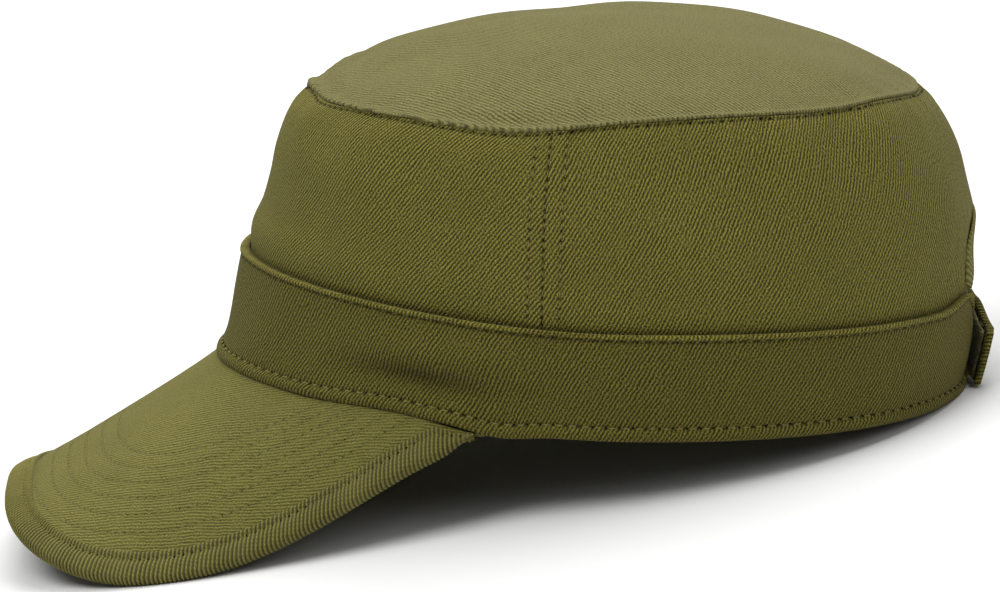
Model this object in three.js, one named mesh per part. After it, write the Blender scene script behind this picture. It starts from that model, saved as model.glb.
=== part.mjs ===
// Army cap in olive cotton twill: domed crown top, two side panels, wide band, curved peak with a
// bound edge, and an arched opening at the back closed by a hook-and-loop strap over a tab.
// Millimetres. The cap is shaped level as it is worn, front towards -Y, wearer's left towards +X,
// then tipped so that it rests on the peak's edge and the rear of the band, with z = 0 the table.
import * as THREE from "three";

const degrees = THREE.MathUtils.degToRad;
const lerp = THREE.MathUtils.lerp;
const clamp = THREE.MathUtils.clamp;

// Driving dimensions
const GAP = 0.3; // air left between neighbouring pieces
const PANEL_WALL = 1.7; // side panels and crown top
const BAND_WALL = 1.9;
const HEM_PROUD = 0.5; // how far the rolled bottom hem stands out of the band
const BAND_HEIGHT = 28;
const SEAM_SECTION = 81; // section of the crown seam, measured up the side wall
const SIDE_SEAM_ANGLE = degrees(72.3); // side seam, from the middle of the front
const DOME_APEX = 98.4; // height of the crown top's middle
const DOME_SHIFT = 2; // the dome's middle sits this far behind the middle of the seam
const DOME_POWER_FRONT = 2.3;
const DOME_POWER_BACK = 2.6;

const PEAK_HALF_ANGLE = degrees(62.5); // where the peak's ends go under the band
const PEAK_WALL = 3; // two plies of cloth over board
const PEAK_EDGE = { halfWidth: 73.2, centreY: -41.9, reach: 125.8, power: 3.08, endY: -40.5 };
const PEAK_START = -2.23; // height of the peak's own curve at the hem, in the middle
const PEAK_SLOPE = 0.618; // fall per millimetre forward, along the middle
const PEAK_LEVELLING = 5.5e-4; // the slope eases by this much with the square of the way forward
const PEAK_ARCH = 2.34e-3; // fall with the square of the way to the side
const PEAK_ARCH_GROWTH = 1.93e-5; // more of that fall per millimetre forward
const PEAK_SIDES = 1.106e-6; // fall with the fourth power, which bends the sides down
const PEAK_BLEND = 45; // distance over which the peak settles from the hem to its own curve
const PEAK_ROOT_TUCK = 3.2; // how far the root reaches under the hem, at the middle
const PEAK_END_TUCK = 5; // and at the two ends
const BINDING_WIDTH = 8;
const BINDING_WALL = 0.9;
const BINDING_GAP = 0.4; // air between the faces of the peak and its binding
const RIM_GAP = 0.6; // and between their edges

const BAND_END_X = 28; // half of the gap between the two ends of the band
const BAND_END_RISE = 2.2; // the top edge climbs this much towards its ends
const BAND_CORNER = 5; // radius of the corners
const ARCH_HALF_WIDTH = 27;
const ARCH_FOOT = 26; // section where the arch starts
const ARCH_RISE = 15;
const ARCH_POWER = 2.4;
const ARCH_BINDING_WIDTH = 6;
const STRAP_ROOT_X = 33; // strap and tab start here, under the ends of the band
const STRAP_LOW = 1.7; // heights of the strap's two edges
const STRAP_HIGH = 22.8;
const STRAP_WALL = 2;
const PAD_WALL = 0.9;

const PRESSED = 0.7; // cloth pressed flat where it touches the table

// Side wall: one row per section. "up" is measured along the wall from the bottom edge; heights at
// the side, front and back; radii to the front, back and side; exponents of the front and rear half.
const WALL = [
  { up: 0, side: -1.8, front: 2.3, back: -0.5, toFront: 107.4, toBack: 96.6, toSide: 79.8, bowFront: 1.8, bowBack: 2.35 },
  { up: 14, side: 12.4, front: 16, back: 11.8, toFront: 103.6, toBack: 98.4, toSide: 81.2, bowFront: 1.84, bowBack: 2.25 },
  { up: 28, side: 26.7, front: 32.2, back: 24.9, toFront: 100.9, toBack: 99.2, toSide: 81.8, bowFront: 1.88, bowBack: 2.16 },
  { up: 36, side: 35, front: 39, back: 34, toFront: 100.5, toBack: 98.6, toSide: 81.8, bowFront: 1.95, bowBack: 2.16 },
  { up: 45, side: 44, front: 46, back: 45, toFront: 97.4, toBack: 98.2, toSide: 81.4, bowFront: 2.02, bowBack: 2.16 },
  { up: 54, side: 53, front: 53.5, back: 55, toFront: 95.3, toBack: 97.2, toSide: 80.6, bowFront: 2.1, bowBack: 2.15 },
  { up: 64, side: 63, front: 63, back: 66, toFront: 93.6, toBack: 94, toSide: 79, bowFront: 2.2, bowBack: 2.12 },
  { up: 73, side: 73, front: 72, back: 75.5, toFront: 90.2, toBack: 88.2, toSide: 76.6, bowFront: 2.25, bowBack: 2.08 },
  { up: 81, side: 79.6, front: 77.6, back: 80.6, toFront: 85, toBack: 82.6, toSide: 73.7, bowFront: 2.3, bowBack: 2.05 },
];

// Soft swells and hollows of the cloth: where they sit (section and angle from the front, positive
// on the wearer's left), how far they reach each way, and how far they push the wall out.
const SWELLS = [
  { what: "hollow of the band beside the peak", up: 7, angle: 66, reachUp: 9, reachAngle: 17, out: -1.5 },
  { what: "bulge above the rear arch", up: 46, angle: 180, reachUp: 5, reachAngle: 24, out: 1.2 },
  { what: "flare of the arch, left", up: 33.5, angle: 165, reachUp: 5, reachAngle: 10, out: 1.3 },
  { what: "flare of the arch, right", up: 33.5, angle: -165, reachUp: 5, reachAngle: 10, out: 1.3 },
  { what: "crease below the seam", up: 70, angle: 129, reachUp: 8, reachAngle: 5, out: -0.9 },
  { what: "fold at the front corner", up: 73, angle: 24, reachUp: 6, reachAngle: 6, out: -0.9 },
  { what: "fold at the front corner, right", up: 73, angle: -26, reachUp: 6, reachAngle: 6, out: -0.7 },
];

// How the crown seam rises and falls round the cap, alike on both sides, by the angle from the front.
const SEAM_WAVE = [
  { angle: 0, rise: 1.3 },
  { angle: 6, rise: 2.2 },
  { angle: 12, rise: 1.8 },
  { angle: 18, rise: 0.9 },
  { angle: 30, rise: 1 },
  { angle: 42, rise: 0.8 },
  { angle: 50, rise: 0.1 },
  { angle: 58, rise: -0.7 },
  { angle: 65, rise: -1 },
  { angle: 72, rise: -0.3 },
  { angle: 80, rise: 0.9 },
  { angle: 90, rise: 2.2 },
  { angle: 100, rise: 3 },
  { angle: 112, rise: 3.3 },
  { angle: 125, rise: 2.9 },
  { angle: 135, rise: 2.8 },
  { angle: 145, rise: 3.1 },
  { angle: 154, rise: 2.3 },
  { angle: 162, rise: 1.1 },
  { angle: 170, rise: 0.2 },
  { angle: 180, rise: 0 },
];
const FRONT_DIP = { angle: -13, reach: 13, rise: -3.6 }; // the seam sags right of the front's middle

// The bottom edge of the band is drawn up by each side of the peak and hangs lower behind it.
const HEM_WAVE = [
  { angle: 44, reach: 10, rise: 1.4 },
  { angle: 65, reach: 6.5, rise: -1.5 },
];

// Smooth value of one column of a table, at a place along another of its columns.
function tableValue(table, along, column, at) {
  let i = 0;
  while (i < table.length - 2 && table[i + 1][along] < at) i += 1;
  const span = (j) => table[j + 1][along] - table[j][along];
  const rise = (j) => (table[j + 1][column] - table[j][column]) / span(j);
  const slope = (j) => {
    if (j === 0) return rise(0);
    if (j === table.length - 1) return rise(j - 1);
    return (rise(j - 1) * span(j) + rise(j) * span(j - 1)) / (span(j - 1) + span(j));
  };
  const s = (at - table[i][along]) / span(i);
  const start = table[i][column] * (1 + 2 * s) * (1 - s) ** 2 + slope(i) * span(i) * s * (1 - s) ** 2;
  const end = table[i + 1][column] * s * s * (3 - 2 * s) + slope(i + 1) * span(i) * s * s * (s - 1);
  return start + end;
}

function wallValue(column, up) {
  return tableValue(WALL, "up", column, up);
}

// Angle in degrees, from -180 to 180, from another one given in degrees.
function turnFrom(angle, other) {
  const turn = THREE.MathUtils.radToDeg(angle) - other;
  return turn - 360 * Math.round(turn / 360);
}

function bell(x, reach) {
  return Math.exp(-((x / reach) ** 2));
}

function swell(up, angle) {
  return SWELLS.reduce((out, row) => {
    return out + row.out * bell(up - row.up, row.reachUp) * bell(turnFrom(angle, row.angle), row.reachAngle);
  }, 0);
}

// How far the crown seam and the hem lift the wall round them.
function lifted(up, angle) {
  const turn = Math.abs(turnFrom(angle, 0));
  const dip = FRONT_DIP.rise * bell(turnFrom(angle, FRONT_DIP.angle), FRONT_DIP.reach);
  const seam = tableValue(SEAM_WAVE, "angle", "rise", turn) + dip;
  const hem = HEM_WAVE.reduce((sum, row) => sum + row.rise * bell(turn - row.angle, row.reach), 0);
  const { smoothstep } = THREE.MathUtils;
  return seam * smoothstep(up, 50, SEAM_SECTION) + hem * (1 - smoothstep(up, 2, 20));
}

const BROW_ROUND = 0.15; // rounds the wall where it crosses the middle of the front and back
// Point of the side wall, "out" millimetres outside the face of the side panels.
function wallPoint(up, angle, out = 0) {
  const c = Math.cos(angle);
  const s = Math.sin(angle);
  const long = wallValue(c > 0 ? "toFront" : "toBack", up);
  const bow = wallValue(c > 0 ? "bowFront" : "bowBack", up);
  const wide = wallValue("toSide", up);
  const round = (share) => ((share * share + BROW_ROUND ** 2) ** (bow / 2) - BROW_ROUND ** bow);
  const oval = ((round(s) / round(1)) * wide ** -bow + Math.abs(c / long) ** bow) ** (-1 / bow);
  const radius = oval + out + swell(up, angle);
  const level = wallValue("side", up);
  const ends = wallValue(c > 0 ? "front" : "back", up);
  return new THREE.Vector3(radius * s, -radius * c, lerp(level, ends, c * c) + lifted(up, angle));
}

// Point of the domed top: "share" is 0 in the middle and 1 at the seam.
function domePoint(share, angle, lower = 0) {
  const rim = wallPoint(SEAM_SECTION, angle, -lower);
  const power = lerp(DOME_POWER_FRONT, DOME_POWER_BACK, (1 - Math.cos(angle)) / 2);
  const rise = 1 - share ** power;
  return new THREE.Vector3(rim.x * share, rim.y * share + DOME_SHIFT * rise, lerp(rim.z, DOME_APEX, rise) - lower);
}

// Angle on the rear half where the wall is "x" to the side of the middle, at section "up".
function rearAngle(x, up = ARCH_FOOT) {
  let low = Math.PI / 2;
  let high = Math.PI;
  for (let step = 0; step < 40; step += 1) {
    const middle = (low + high) / 2;
    if (wallPoint(up, middle).x > Math.abs(x)) low = middle;
    else high = middle;
  }
  return x >= 0 ? low : 2 * Math.PI - low;
}

// A closed body from triangles given by point lists.
function body(points, triangles) {
  const geometry = new THREE.BufferGeometry();
  geometry.setAttribute("position", new THREE.Float32BufferAttribute(points.flatMap((p) => p.toArray()), 3));
  geometry.setIndex(triangles);
  geometry.computeVertexNormals();
  return geometry;
}

// Two triangles over the four corners, which go round anticlockwise as seen from outside.
function quad(triangles, a, b, c, d) {
  triangles.push(a, b, c, a, c, d);
}

// A sheet with two faces: "sections" lie side by side, each with as many points on its outer face
// as on its inner one. The faces, the two long edges and the two ends are closed.
function sheet(sections) {
  const across = sections[0].outer.length;
  const points = sections.flatMap((section) => [...section.outer, ...section.inner]);
  const outer = (i, j) => i * 2 * across + j;
  const inner = (i, j) => outer(i, j) + across;
  const last = across - 1;
  const triangles = [];
  for (let i = 0; i < sections.length - 1; i += 1) {
    for (let j = 0; j < last; j += 1) {
      quad(triangles, outer(i, j), outer(i + 1, j), outer(i + 1, j + 1), outer(i, j + 1));
      quad(triangles, inner(i, j), inner(i, j + 1), inner(i + 1, j + 1), inner(i + 1, j));
    }
    quad(triangles, outer(i, 0), inner(i, 0), inner(i + 1, 0), outer(i + 1, 0));
    quad(triangles, outer(i, last), outer(i + 1, last), inner(i + 1, last), inner(i, last));
  }
  const end = sections.length - 1;
  for (let j = 0; j < last; j += 1) {
    quad(triangles, outer(0, j), outer(0, j + 1), inner(0, j + 1), inner(0, j));
    quad(triangles, outer(end, j), inner(end, j), inner(end, j + 1), outer(end, j + 1));
  }
  return body(points, triangles);
}

// A closed skin of rings between two poles, from the outer pole round the rim to the inner one.
function capped(firstPole, rings, lastPole) {
  const around = rings[0].length;
  const points = [firstPole, ...rings.flat(), lastPole];
  const at = (i, j) => 1 + i * around + (j % around);
  const triangles = [];
  for (let j = 0; j < around; j += 1) {
    triangles.push(0, at(0, j), at(0, j + 1));
    for (let i = 0; i < rings.length - 1; i += 1) {
      quad(triangles, at(i, j), at(i + 1, j), at(i + 1, j + 1), at(i, j + 1));
    }
    triangles.push(points.length - 1, at(rings.length - 1, j + 1), at(rings.length - 1, j));
  }
  return body(points, triangles);
}

function steps(count, from, to) {
  return Array.from({ length: count + 1 }, (_, i) => lerp(from, to, i / count));
}

// Crown top: the domed panel, its edge rolled over the seam.
const ROLL = [
  { out: -0.9, up: 0.6 },
  { out: 0.2, up: 0.7 },
  { out: 0.8, up: 0.3 },
  { out: 0.8, up: -0.3 },
  { out: 0.3, up: -0.6 },
  { out: -PANEL_WALL, up: -0.6 },
];
function crownTop() {
  const angles = steps(60, 0, 2 * Math.PI).slice(0, -1);
  const dome = (share, lower) => angles.map((angle) => domePoint(share, angle, lower));
  const rings = [0.14, 0.28, 0.42, 0.55, 0.67, 0.77, 0.86, 0.93, 0.97].map((share) => dome(share, 0));
  for (const turn of ROLL) {
    rings.push(angles.map((angle) => {
      const point = wallPoint(SEAM_SECTION, angle, turn.out);
      point.z += turn.up;
      return point;
    }));
  }
  for (const share of [0.95, 0.86, 0.72, 0.5, 0.25]) rings.push(dome(share, PANEL_WALL));
  return capped(domePoint(0, 0), rings, domePoint(0, 0, PANEL_WALL));
}

// A panel of the side wall over the given angles; "low" gives its bottom edge at an angle.
const PANEL_LOW = 1.6;
const PANEL_HIGH = SEAM_SECTION - 1.6;
function panel(angles, low, rows) {
  return sheet(angles.map((angle) => {
    const bottom = low(angle);
    const ups = rows.map((share) => lerp(bottom, PANEL_HIGH, share));
    return {
      outer: ups.map((up) => wallPoint(up, angle)),
      inner: ups.map((up) => wallPoint(up, angle, -PANEL_WALL)),
    };
  }));
}

const ROWS = [0, 0.16, 0.32, 0.42, 0.54, 0.66, 0.78, 0.9, 1];
const HALF_SEAM = degrees(0.12); // half of the air gap at the side seam
const FRONT_ANGLES = steps(30, -SIDE_SEAM_ANGLE, SIDE_SEAM_ANGLE);
function sideFront() {
  const angles = FRONT_ANGLES.map((angle) => clamp(angle, HALF_SEAM - SIDE_SEAM_ANGLE, SIDE_SEAM_ANGLE - HALF_SEAM));
  return panel(angles, () => PANEL_LOW, ROWS);
}

// Angles shared by the rear panel and the band, from the side seam to the start of the opening.
const REAR_ANGLES = [...steps(11, SIDE_SEAM_ANGLE, rearAngle(44)), rearAngle(40), rearAngle(36)];

const PANEL_END_X = STRAP_ROOT_X + 2.2; // the panel ends here, clear of the roots of strap and tab
// Bottom edge of the rear panel at a distance from the middle of the back.
function rearLow(x) {
  if (x < ARCH_HALF_WIDTH) return ARCH_FOOT + ARCH_RISE * (1 - (x / ARCH_HALF_WIDTH) ** ARCH_POWER) ** (1 / ARCH_POWER);
  return x < PANEL_END_X ? ARCH_FOOT + 0.5 : PANEL_LOW;
}

// Stations along one half of the arch, from where it rises out of the band to near its top.
const ARCH_BINDING_FOOT = BAND_HEIGHT + BAND_END_RISE + GAP;
const ARCH_FOOT_SHARE = 1 - ((ARCH_BINDING_FOOT - ARCH_FOOT) / ARCH_RISE) ** ARCH_POWER;
const ARCH_STATIONS = [ARCH_HALF_WIDTH * ARCH_FOOT_SHARE ** (1 / ARCH_POWER), 26, 24, 20.5, 16, 10.5, 5];
function sideRear() {
  const outside = [PANEL_END_X + 0.1, PANEL_END_X - 0.1, 30, ARCH_HALF_WIDTH + 0.2, ARCH_HALF_WIDTH - 0.1];
  const nearArch = [...outside, ...ARCH_STATIONS];
  const left = [...REAR_ANGLES, ...nearArch.map((x) => rearAngle(x))];
  left[0] += HALF_SEAM;
  const right = left.map((angle) => 2 * Math.PI - angle).reverse();
  return panel([...left, Math.PI, ...right], (angle) => rearLow(Math.abs(wallPoint(ARCH_FOOT, angle).x)), ROWS);
}

// Band: a wide strip round the panels, hem rolled at the bottom, corners rounded at its two ends.
const BAND_ROWS = [
  { up: 0, proud: 0.2 },
  { up: 0.8, proud: HEM_PROUD },
  { up: 2.2, proud: HEM_PROUD },
  { up: 3.1, proud: 0 },
  { up: 14, proud: 0 },
  { up: BAND_HEIGHT - 1.2, proud: 0.3 },
  { up: BAND_HEIGHT, proud: 0 },
];
function bandSection(angle) {
  const x = Math.cos(angle) < 0 ? Math.abs(wallPoint(ARCH_FOOT, angle).x) : Infinity;
  const fromEnd = clamp(x - BAND_END_X, 0, BAND_CORNER);
  const cut = BAND_CORNER - Math.sqrt(BAND_CORNER ** 2 - (BAND_CORNER - fromEnd) ** 2);
  const climb = BAND_END_RISE * (1 - THREE.MathUtils.smoothstep(x, BAND_END_X + 3, BAND_END_X + 20));
  const up = (row) => lerp(cut, BAND_HEIGHT + climb - cut, row.up / BAND_HEIGHT);
  return {
    outer: BAND_ROWS.map((row) => wallPoint(up(row), angle, GAP + BAND_WALL + row.proud)),
    inner: BAND_ROWS.map((row) => wallPoint(up(row), angle, GAP)),
  };
}

function band() {
  const toEnd = [5, 3.2, 1.6, 0.5, 0.02].map((along) => rearAngle(BAND_END_X + along));
  const left = [...FRONT_ANGLES.filter((angle) => angle >= 0), ...REAR_ANGLES.slice(1), ...toEnd];
  const right = left.slice(1).map((angle) => -angle).reverse();
  return sheet([...right, ...left].map(bandSection));
}

// How far a point of the plan lies outside the hem of the band.
function outsideHem(x, y) {
  const hem = wallPoint(0, Math.atan2(x, -y), GAP + BAND_WALL);
  return Math.hypot(x, y) - Math.hypot(hem.x, hem.y);
}

// Height of the peak's upper face over a point of the plan.
function peakHeight(x, y) {
  const forward = -y - (WALL[0].toFront + BAND_WALL);
  const arch = (PEAK_ARCH + PEAK_ARCH_GROWTH * forward) * x * x + PEAK_SIDES * x ** 4;
  return PEAK_START - PEAK_SLOPE * forward + PEAK_LEVELLING * forward * forward - arch;
}

// The same, settled against the underside of the hem near the root, with room for the binding
// between them at the ends.
function peakTop(x, y) {
  const angle = Math.atan2(x, -y);
  const hem = wallPoint(0, angle, GAP + BAND_WALL);
  const away = outsideHem(x, y);
  const settle = clamp(1 - away / PEAK_BLEND, 0, 1) ** 2;
  const nearEnd = THREE.MathUtils.smoothstep(Math.abs(angle), PEAK_HALF_ANGLE - degrees(12), PEAK_HALF_ANGLE - degrees(5));
  const underHem = hem.z - GAP - nearEnd * (BINDING_WALL + BINDING_GAP + 0.1);
  const height = peakHeight(x, y) + (underHem - peakHeight(hem.x, hem.y)) * settle;
  return new THREE.Vector3(x, y, away < 0 ? Math.min(height, underHem) : height);
}

const NORMAL_REACH = 3; // the face's direction is taken over this distance, so that it turns gently
function peakNormal(x, y) {
  const alongX = peakTop(x + NORMAL_REACH, y).sub(peakTop(x - NORMAL_REACH, y));
  const alongY = peakTop(x, y + NORMAL_REACH).sub(peakTop(x, y - NORMAL_REACH));
  return alongX.cross(alongY).normalize();
}

// Point "deep" millimetres below the upper face.
function peakPoint(x, y, deep = 0) {
  return peakTop(x, y).addScaledVector(peakNormal(x, y), -deep);
}

// "count" + 1 points evenly along a curve in the plan.
function evenly(curve, count) {
  const path = new THREE.SplineCurve(curve);
  path.arcLengthDivisions = 1200;
  return path.getSpacedPoints(count);
}

function peakRoot(count) {
  return evenly(steps(80, -1, 1).map((side) => {
    const tuck = lerp(PEAK_ROOT_TUCK, PEAK_END_TUCK, Math.abs(side) ** 6);
    const point = wallPoint(0, side * PEAK_HALF_ANGLE, GAP + BAND_WALL - tuck);
    return new THREE.Vector2(point.x, point.y);
  }), count);
}

function peakRim(count) {
  const round = 2 / PEAK_EDGE.power;
  const curve = steps(160, -1, 1).map((side) => {
    const turn = (Math.sign(side) * Math.abs(side) ** 1.5 * Math.PI) / 2;
    const x = PEAK_EDGE.halfWidth * Math.sign(side) * Math.abs(Math.sin(turn)) ** round;
    return new THREE.Vector2(x, PEAK_EDGE.centreY - PEAK_EDGE.reach * Math.abs(Math.cos(turn)) ** round);
  });
  const end = (x) => new THREE.Vector2(x, PEAK_EDGE.endY);
  return evenly([end(-PEAK_EDGE.halfWidth), ...curve, end(PEAK_EDGE.halfWidth)], count);
}

// Stations along the rim: the rim's point, the way in across the peak (one millimetre along its
// face, seen in the plan), the root's point, and how much of the binding's full width fits there.
const PEAK_STATIONS = 44;
function peakStations() {
  const rim = peakRim(PEAK_STATIONS);
  const root = peakRoot(PEAK_STATIONS);
  return rim.map((edge, i) => {
    const before = rim[Math.max(i - 1, 0)];
    const after = rim[Math.min(i + 1, rim.length - 1)];
    const inward = new THREE.Vector2(before.y - after.y, after.x - before.x).normalize();
    const inner = edge.clone().addScaledVector(inward, BINDING_WIDTH / 2);
    const steep = (2 * (peakTop(inner.x, inner.y).z - peakTop(edge.x, edge.y).z)) / BINDING_WIDTH;
    inward.divideScalar(Math.hypot(1, steep));
    const fit = clamp((outsideHem(edge.x, edge.y) * Math.hypot(1, steep) - 1.2) / BINDING_WIDTH, 0.12, 1);
    return { edge, inward, root: root[i], fit };
  });
}

const PEAK_END_WALL = 1.2; // wall at the two ends, which thin out under the hem
function peakWall(fit) {
  return lerp(PEAK_END_WALL, PEAK_WALL, fit);
}

function peak() {
  return sheet(peakStations().map(({ edge, inward, root, fit }) => {
    const underBinding = [0, 0.6, 4.5, BINDING_WIDTH].map((d) => edge.clone().addScaledVector(inward, d * fit));
    const start = underBinding[underBinding.length - 1];
    const open = [0.25, 0.5, 0.75, 0.9, 1].map((share) => start.clone().lerp(root, share));
    const along = [...underBinding, ...open];
    return {
      outer: along.map((p) => peakPoint(p.x, p.y)),
      inner: along.map((p) => peakPoint(p.x, p.y, peakWall(fit))),
    };
  }));
}

// Binding: folded round the rim. Each row of the fold is a distance inwards from the rim and a
// depth, for the outside and the inside of the cloth; rows marked "under" are measured from the
// lower face and not from the upper one, and "middle" from half way between them.
const FACE = BINDING_GAP + BINDING_WALL;
const FOLD = [
  { from: "under", outIn: BINDING_WIDTH, outOff: FACE - 0.2, inIn: BINDING_WIDTH },
  { from: "under", outIn: 4.5, outOff: FACE, inIn: 4.5 },
  { from: "under", outIn: 0.6, outOff: FACE, inIn: 0.6 },
  { from: "under", outIn: -0.8, outOff: 0.4, inIn: -RIM_GAP },
  { from: "middle", outIn: -RIM_GAP - BINDING_WALL, outOff: 0, inIn: -RIM_GAP },
  { from: "upper", outIn: -0.8, outOff: 0.4, inIn: -RIM_GAP },
  { from: "upper", outIn: 0.6, outOff: FACE, inIn: 0.6 },
  { from: "upper", outIn: 4.5, outOff: FACE, inIn: 4.5 },
  { from: "upper", outIn: BINDING_WIDTH, outOff: FACE - 0.2, inIn: BINDING_WIDTH },
];
function peakBinding() {
  const sections = peakStations().map(({ edge, inward, fit }) => {
    const wall = peakWall(fit);
    const deep = (row, off) => ({ under: wall + off, middle: wall / 2, upper: -off })[row.from];
    const place = (distance, depth) => {
      const p = edge.clone().addScaledVector(inward, distance > 0 ? distance * fit : distance);
      return peakPoint(p.x, p.y, depth);
    };
    return {
      outer: FOLD.map((row) => place(row.outIn, deep(row, row.outOff))),
      inner: FOLD.map((row) => place(row.inIn, deep(row, BINDING_GAP))),
    };
  });
  return sheet(sections.slice(1, -1));
}

// Binding of the arch, folded round the panel's edge; rows as above, with "Out" the distance
// outside the panel's face.
const ARCH_GAP = 0.6; // more air, because the arch is cut across the curves of the wall
const ARCH_INSIDE = -PANEL_WALL - ARCH_GAP;
const ARCH_FOLD = [
  { edge: 4, out: ARCH_INSIDE - 0.8, underEdge: 4, under: ARCH_INSIDE },
  { edge: -0.3, out: ARCH_INSIDE - 0.8, underEdge: -ARCH_GAP, under: ARCH_INSIDE },
  { edge: -ARCH_GAP - BINDING_WALL, out: -PANEL_WALL / 2, underEdge: -ARCH_GAP, under: -PANEL_WALL / 2 },
  { edge: -0.3, out: ARCH_GAP + 0.8, underEdge: -ARCH_GAP, under: ARCH_GAP },
  { edge: 4, out: ARCH_GAP + 0.8, underEdge: 4, under: ARCH_GAP },
  { edge: ARCH_BINDING_WIDTH, out: ARCH_GAP + 0.7, underEdge: ARCH_BINDING_WIDTH, under: ARCH_GAP },
];
function archBinding() {
  const half = ARCH_STATIONS.map((x) => new THREE.Vector2(x, rearLow(x)));
  const otherHalf = half.map((p) => new THREE.Vector2(-p.x, p.y)).reverse();
  const path = [...half, new THREE.Vector2(0, rearLow(0)), ...otherHalf];
  return sheet(path.map((edge, i) => {
    const before = path[Math.max(i - 1, 0)];
    const after = path[Math.min(i + 1, path.length - 1)];
    const away = new THREE.Vector2(after.y - before.y, before.x - after.x).normalize();
    const place = (distance, out) => {
      const p = edge.clone().addScaledVector(away, distance);
      return wallPoint(Math.max(p.y, ARCH_BINDING_FOOT), rearAngle(p.x), out);
    };
    return {
      outer: ARCH_FOLD.map((row) => place(row.edge, row.out)),
      inner: ARCH_FOLD.map((row) => place(row.underEdge, row.under)),
    };
  }));
}

// Closure: between the band's ends the tab and the strap run flatter than the wall.
const CLOSURE_BULGE = 1.6;
function closureY(x, height) {
  const up = height + 1.2;
  const held = Math.max(Math.abs(x), BAND_END_X);
  const wall = wallPoint(up, rearAngle(held, up)).y;
  return wall + CLOSURE_BULGE * (1 - (Math.min(Math.abs(x), BAND_END_X) / BAND_END_X) ** 2);
}

// A flat strip across the back: "lift" gives how far its inner face lies off the closure's line.
function strip(stations, low, high, wall, lift, cut = () => 0) {
  return sheet(stations.map((x) => {
    const heights = steps(4, low, high - cut(x));
    const face = (extra) => heights.map((z) => {
      const share = (z - STRAP_LOW) / (STRAP_HIGH - STRAP_LOW);
      return new THREE.Vector3(x, closureY(x, z) + lift(x, share) + extra, z);
    });
    return { outer: face(wall), inner: face(0) };
  }).reverse());
}

// Inner face of the strap: under the band at its root, over the tab, then flaring to its free end.
const TAB_LIFT = -STRAP_WALL;
const LOOP_LIFT = GAP;
const HOOK_LIFT = LOOP_LIFT + PAD_WALL + GAP;
const STRAP_LIFT = HOOK_LIFT + PAD_WALL + GAP;
const FLARE_LOW = 3.2; // how far the free end stands away, at its lower and upper corner
const FLARE_HIGH = 6.2;
const STRAP_END_X = 33;
function strapLift(x, share) {
  const over = lerp(TAB_LIFT, STRAP_LIFT, THREE.MathUtils.smoothstep(x, -26, -13));
  const away = clamp((x - 10) / (STRAP_END_X - 10), 0, 1);
  return over + lerp(FLARE_LOW, FLARE_HIGH, share) * away ** 1.7;
}

const STRAP_TAPER = 5; // the upper edge slopes down by this much to the free end
const STRAP_CORNER = 1.5; // and its corner is rounded off by this much
function strapCut(x) {
  const corner = STRAP_CORNER * clamp((x - 29) / (STRAP_END_X - 29), 0, 1) ** 2;
  return STRAP_TAPER * THREE.MathUtils.smoothstep(x, 15, 30) + corner;
}

function closureStrap() {
  const stations = [...steps(16, -STRAP_ROOT_X, 15), 18, 21, 24, 27, 30, 32, STRAP_END_X];
  return strip(stations, STRAP_LOW, STRAP_HIGH, STRAP_WALL, strapLift, strapCut);
}

function hookPad() {
  const lift = (x, share) => strapLift(x, share) - STRAP_LIFT + HOOK_LIFT;
  const stations = [...steps(8, -9, 15), 18, 21, 24, 27, 30, STRAP_END_X - 2];
  return strip(stations, STRAP_LOW + 1.5, STRAP_HIGH - 1.5, PAD_WALL, lift, strapCut);
}

function closureTab() {
  return strip(steps(12, -10, STRAP_ROOT_X), STRAP_LOW, STRAP_HIGH, STRAP_WALL, () => TAB_LIFT);
}

function loopPad() {
  return strip(steps(10, -8, BAND_END_X - 1), STRAP_LOW + 1.5, STRAP_HIGH - 1.5, PAD_WALL, () => LOOP_LIFT);
}

const PARTS = [
  { name: "crown_top", make: crownTop, colour: "#868157" },
  { name: "side_front", make: sideFront, colour: "#5f5b2d" },
  { name: "side_rear", make: sideRear, colour: "#605c2e" },
  { name: "band", make: band, colour: "#55511f" },
  { name: "peak", make: peak, colour: "#6f6b3c" },
  { name: "peak_binding", make: peakBinding, colour: "#6f6b3c" },
  { name: "arch_binding", make: archBinding, colour: "#605c2e" },
  { name: "closure_strap", make: closureStrap, colour: "#5f5b2d" },
  { name: "closure_hook_pad", make: hookPad, colour: "#3b3a22" },
  { name: "closure_tab", make: closureTab, colour: "#5f5b2d" },
  { name: "closure_loop_pad", make: loopPad, colour: "#3f3d24" },
];

// Tips the front up until the lowest points of the peak's edge and of the band are level.
function tipped(pieces) {
  const low = (name, turn) => {
    const turned = pieces.find((piece) => piece.name === name).geometry.clone().applyMatrix4(turn);
    turned.computeBoundingBox();
    return turned.boundingBox.min.z;
  };
  let least = 0;
  let most = degrees(25);
  for (let step = 0; step < 30; step += 1) {
    const middle = (least + most) / 2;
    const turn = new THREE.Matrix4().makeRotationX(-middle);
    if (low("peak_binding", turn) < low("band", turn)) least = middle;
    else most = middle;
  }
  return new THREE.Matrix4().makeRotationX(-least);
}

// Sets the pieces down on the table, with the middle of their box over the origin, and presses
// flat the cloth that touches it.
function settle(pieces) {
  const turn = tipped(pieces);
  const box = new THREE.Box3();
  for (const piece of pieces) {
    piece.geometry.applyMatrix4(turn);
    piece.geometry.computeBoundingBox();
    box.union(piece.geometry.boundingBox);
  }
  const middle = box.getCenter(new THREE.Vector3());
  for (const piece of pieces) {
    piece.geometry.translate(-middle.x, -middle.y, -box.min.z - PRESSED);
    const place = piece.geometry.getAttribute("position");
    for (let i = 0; i < place.count; i += 1) place.setZ(i, Math.max(place.getZ(i), 0));
    piece.geometry.computeVertexNormals();
  }
}

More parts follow.
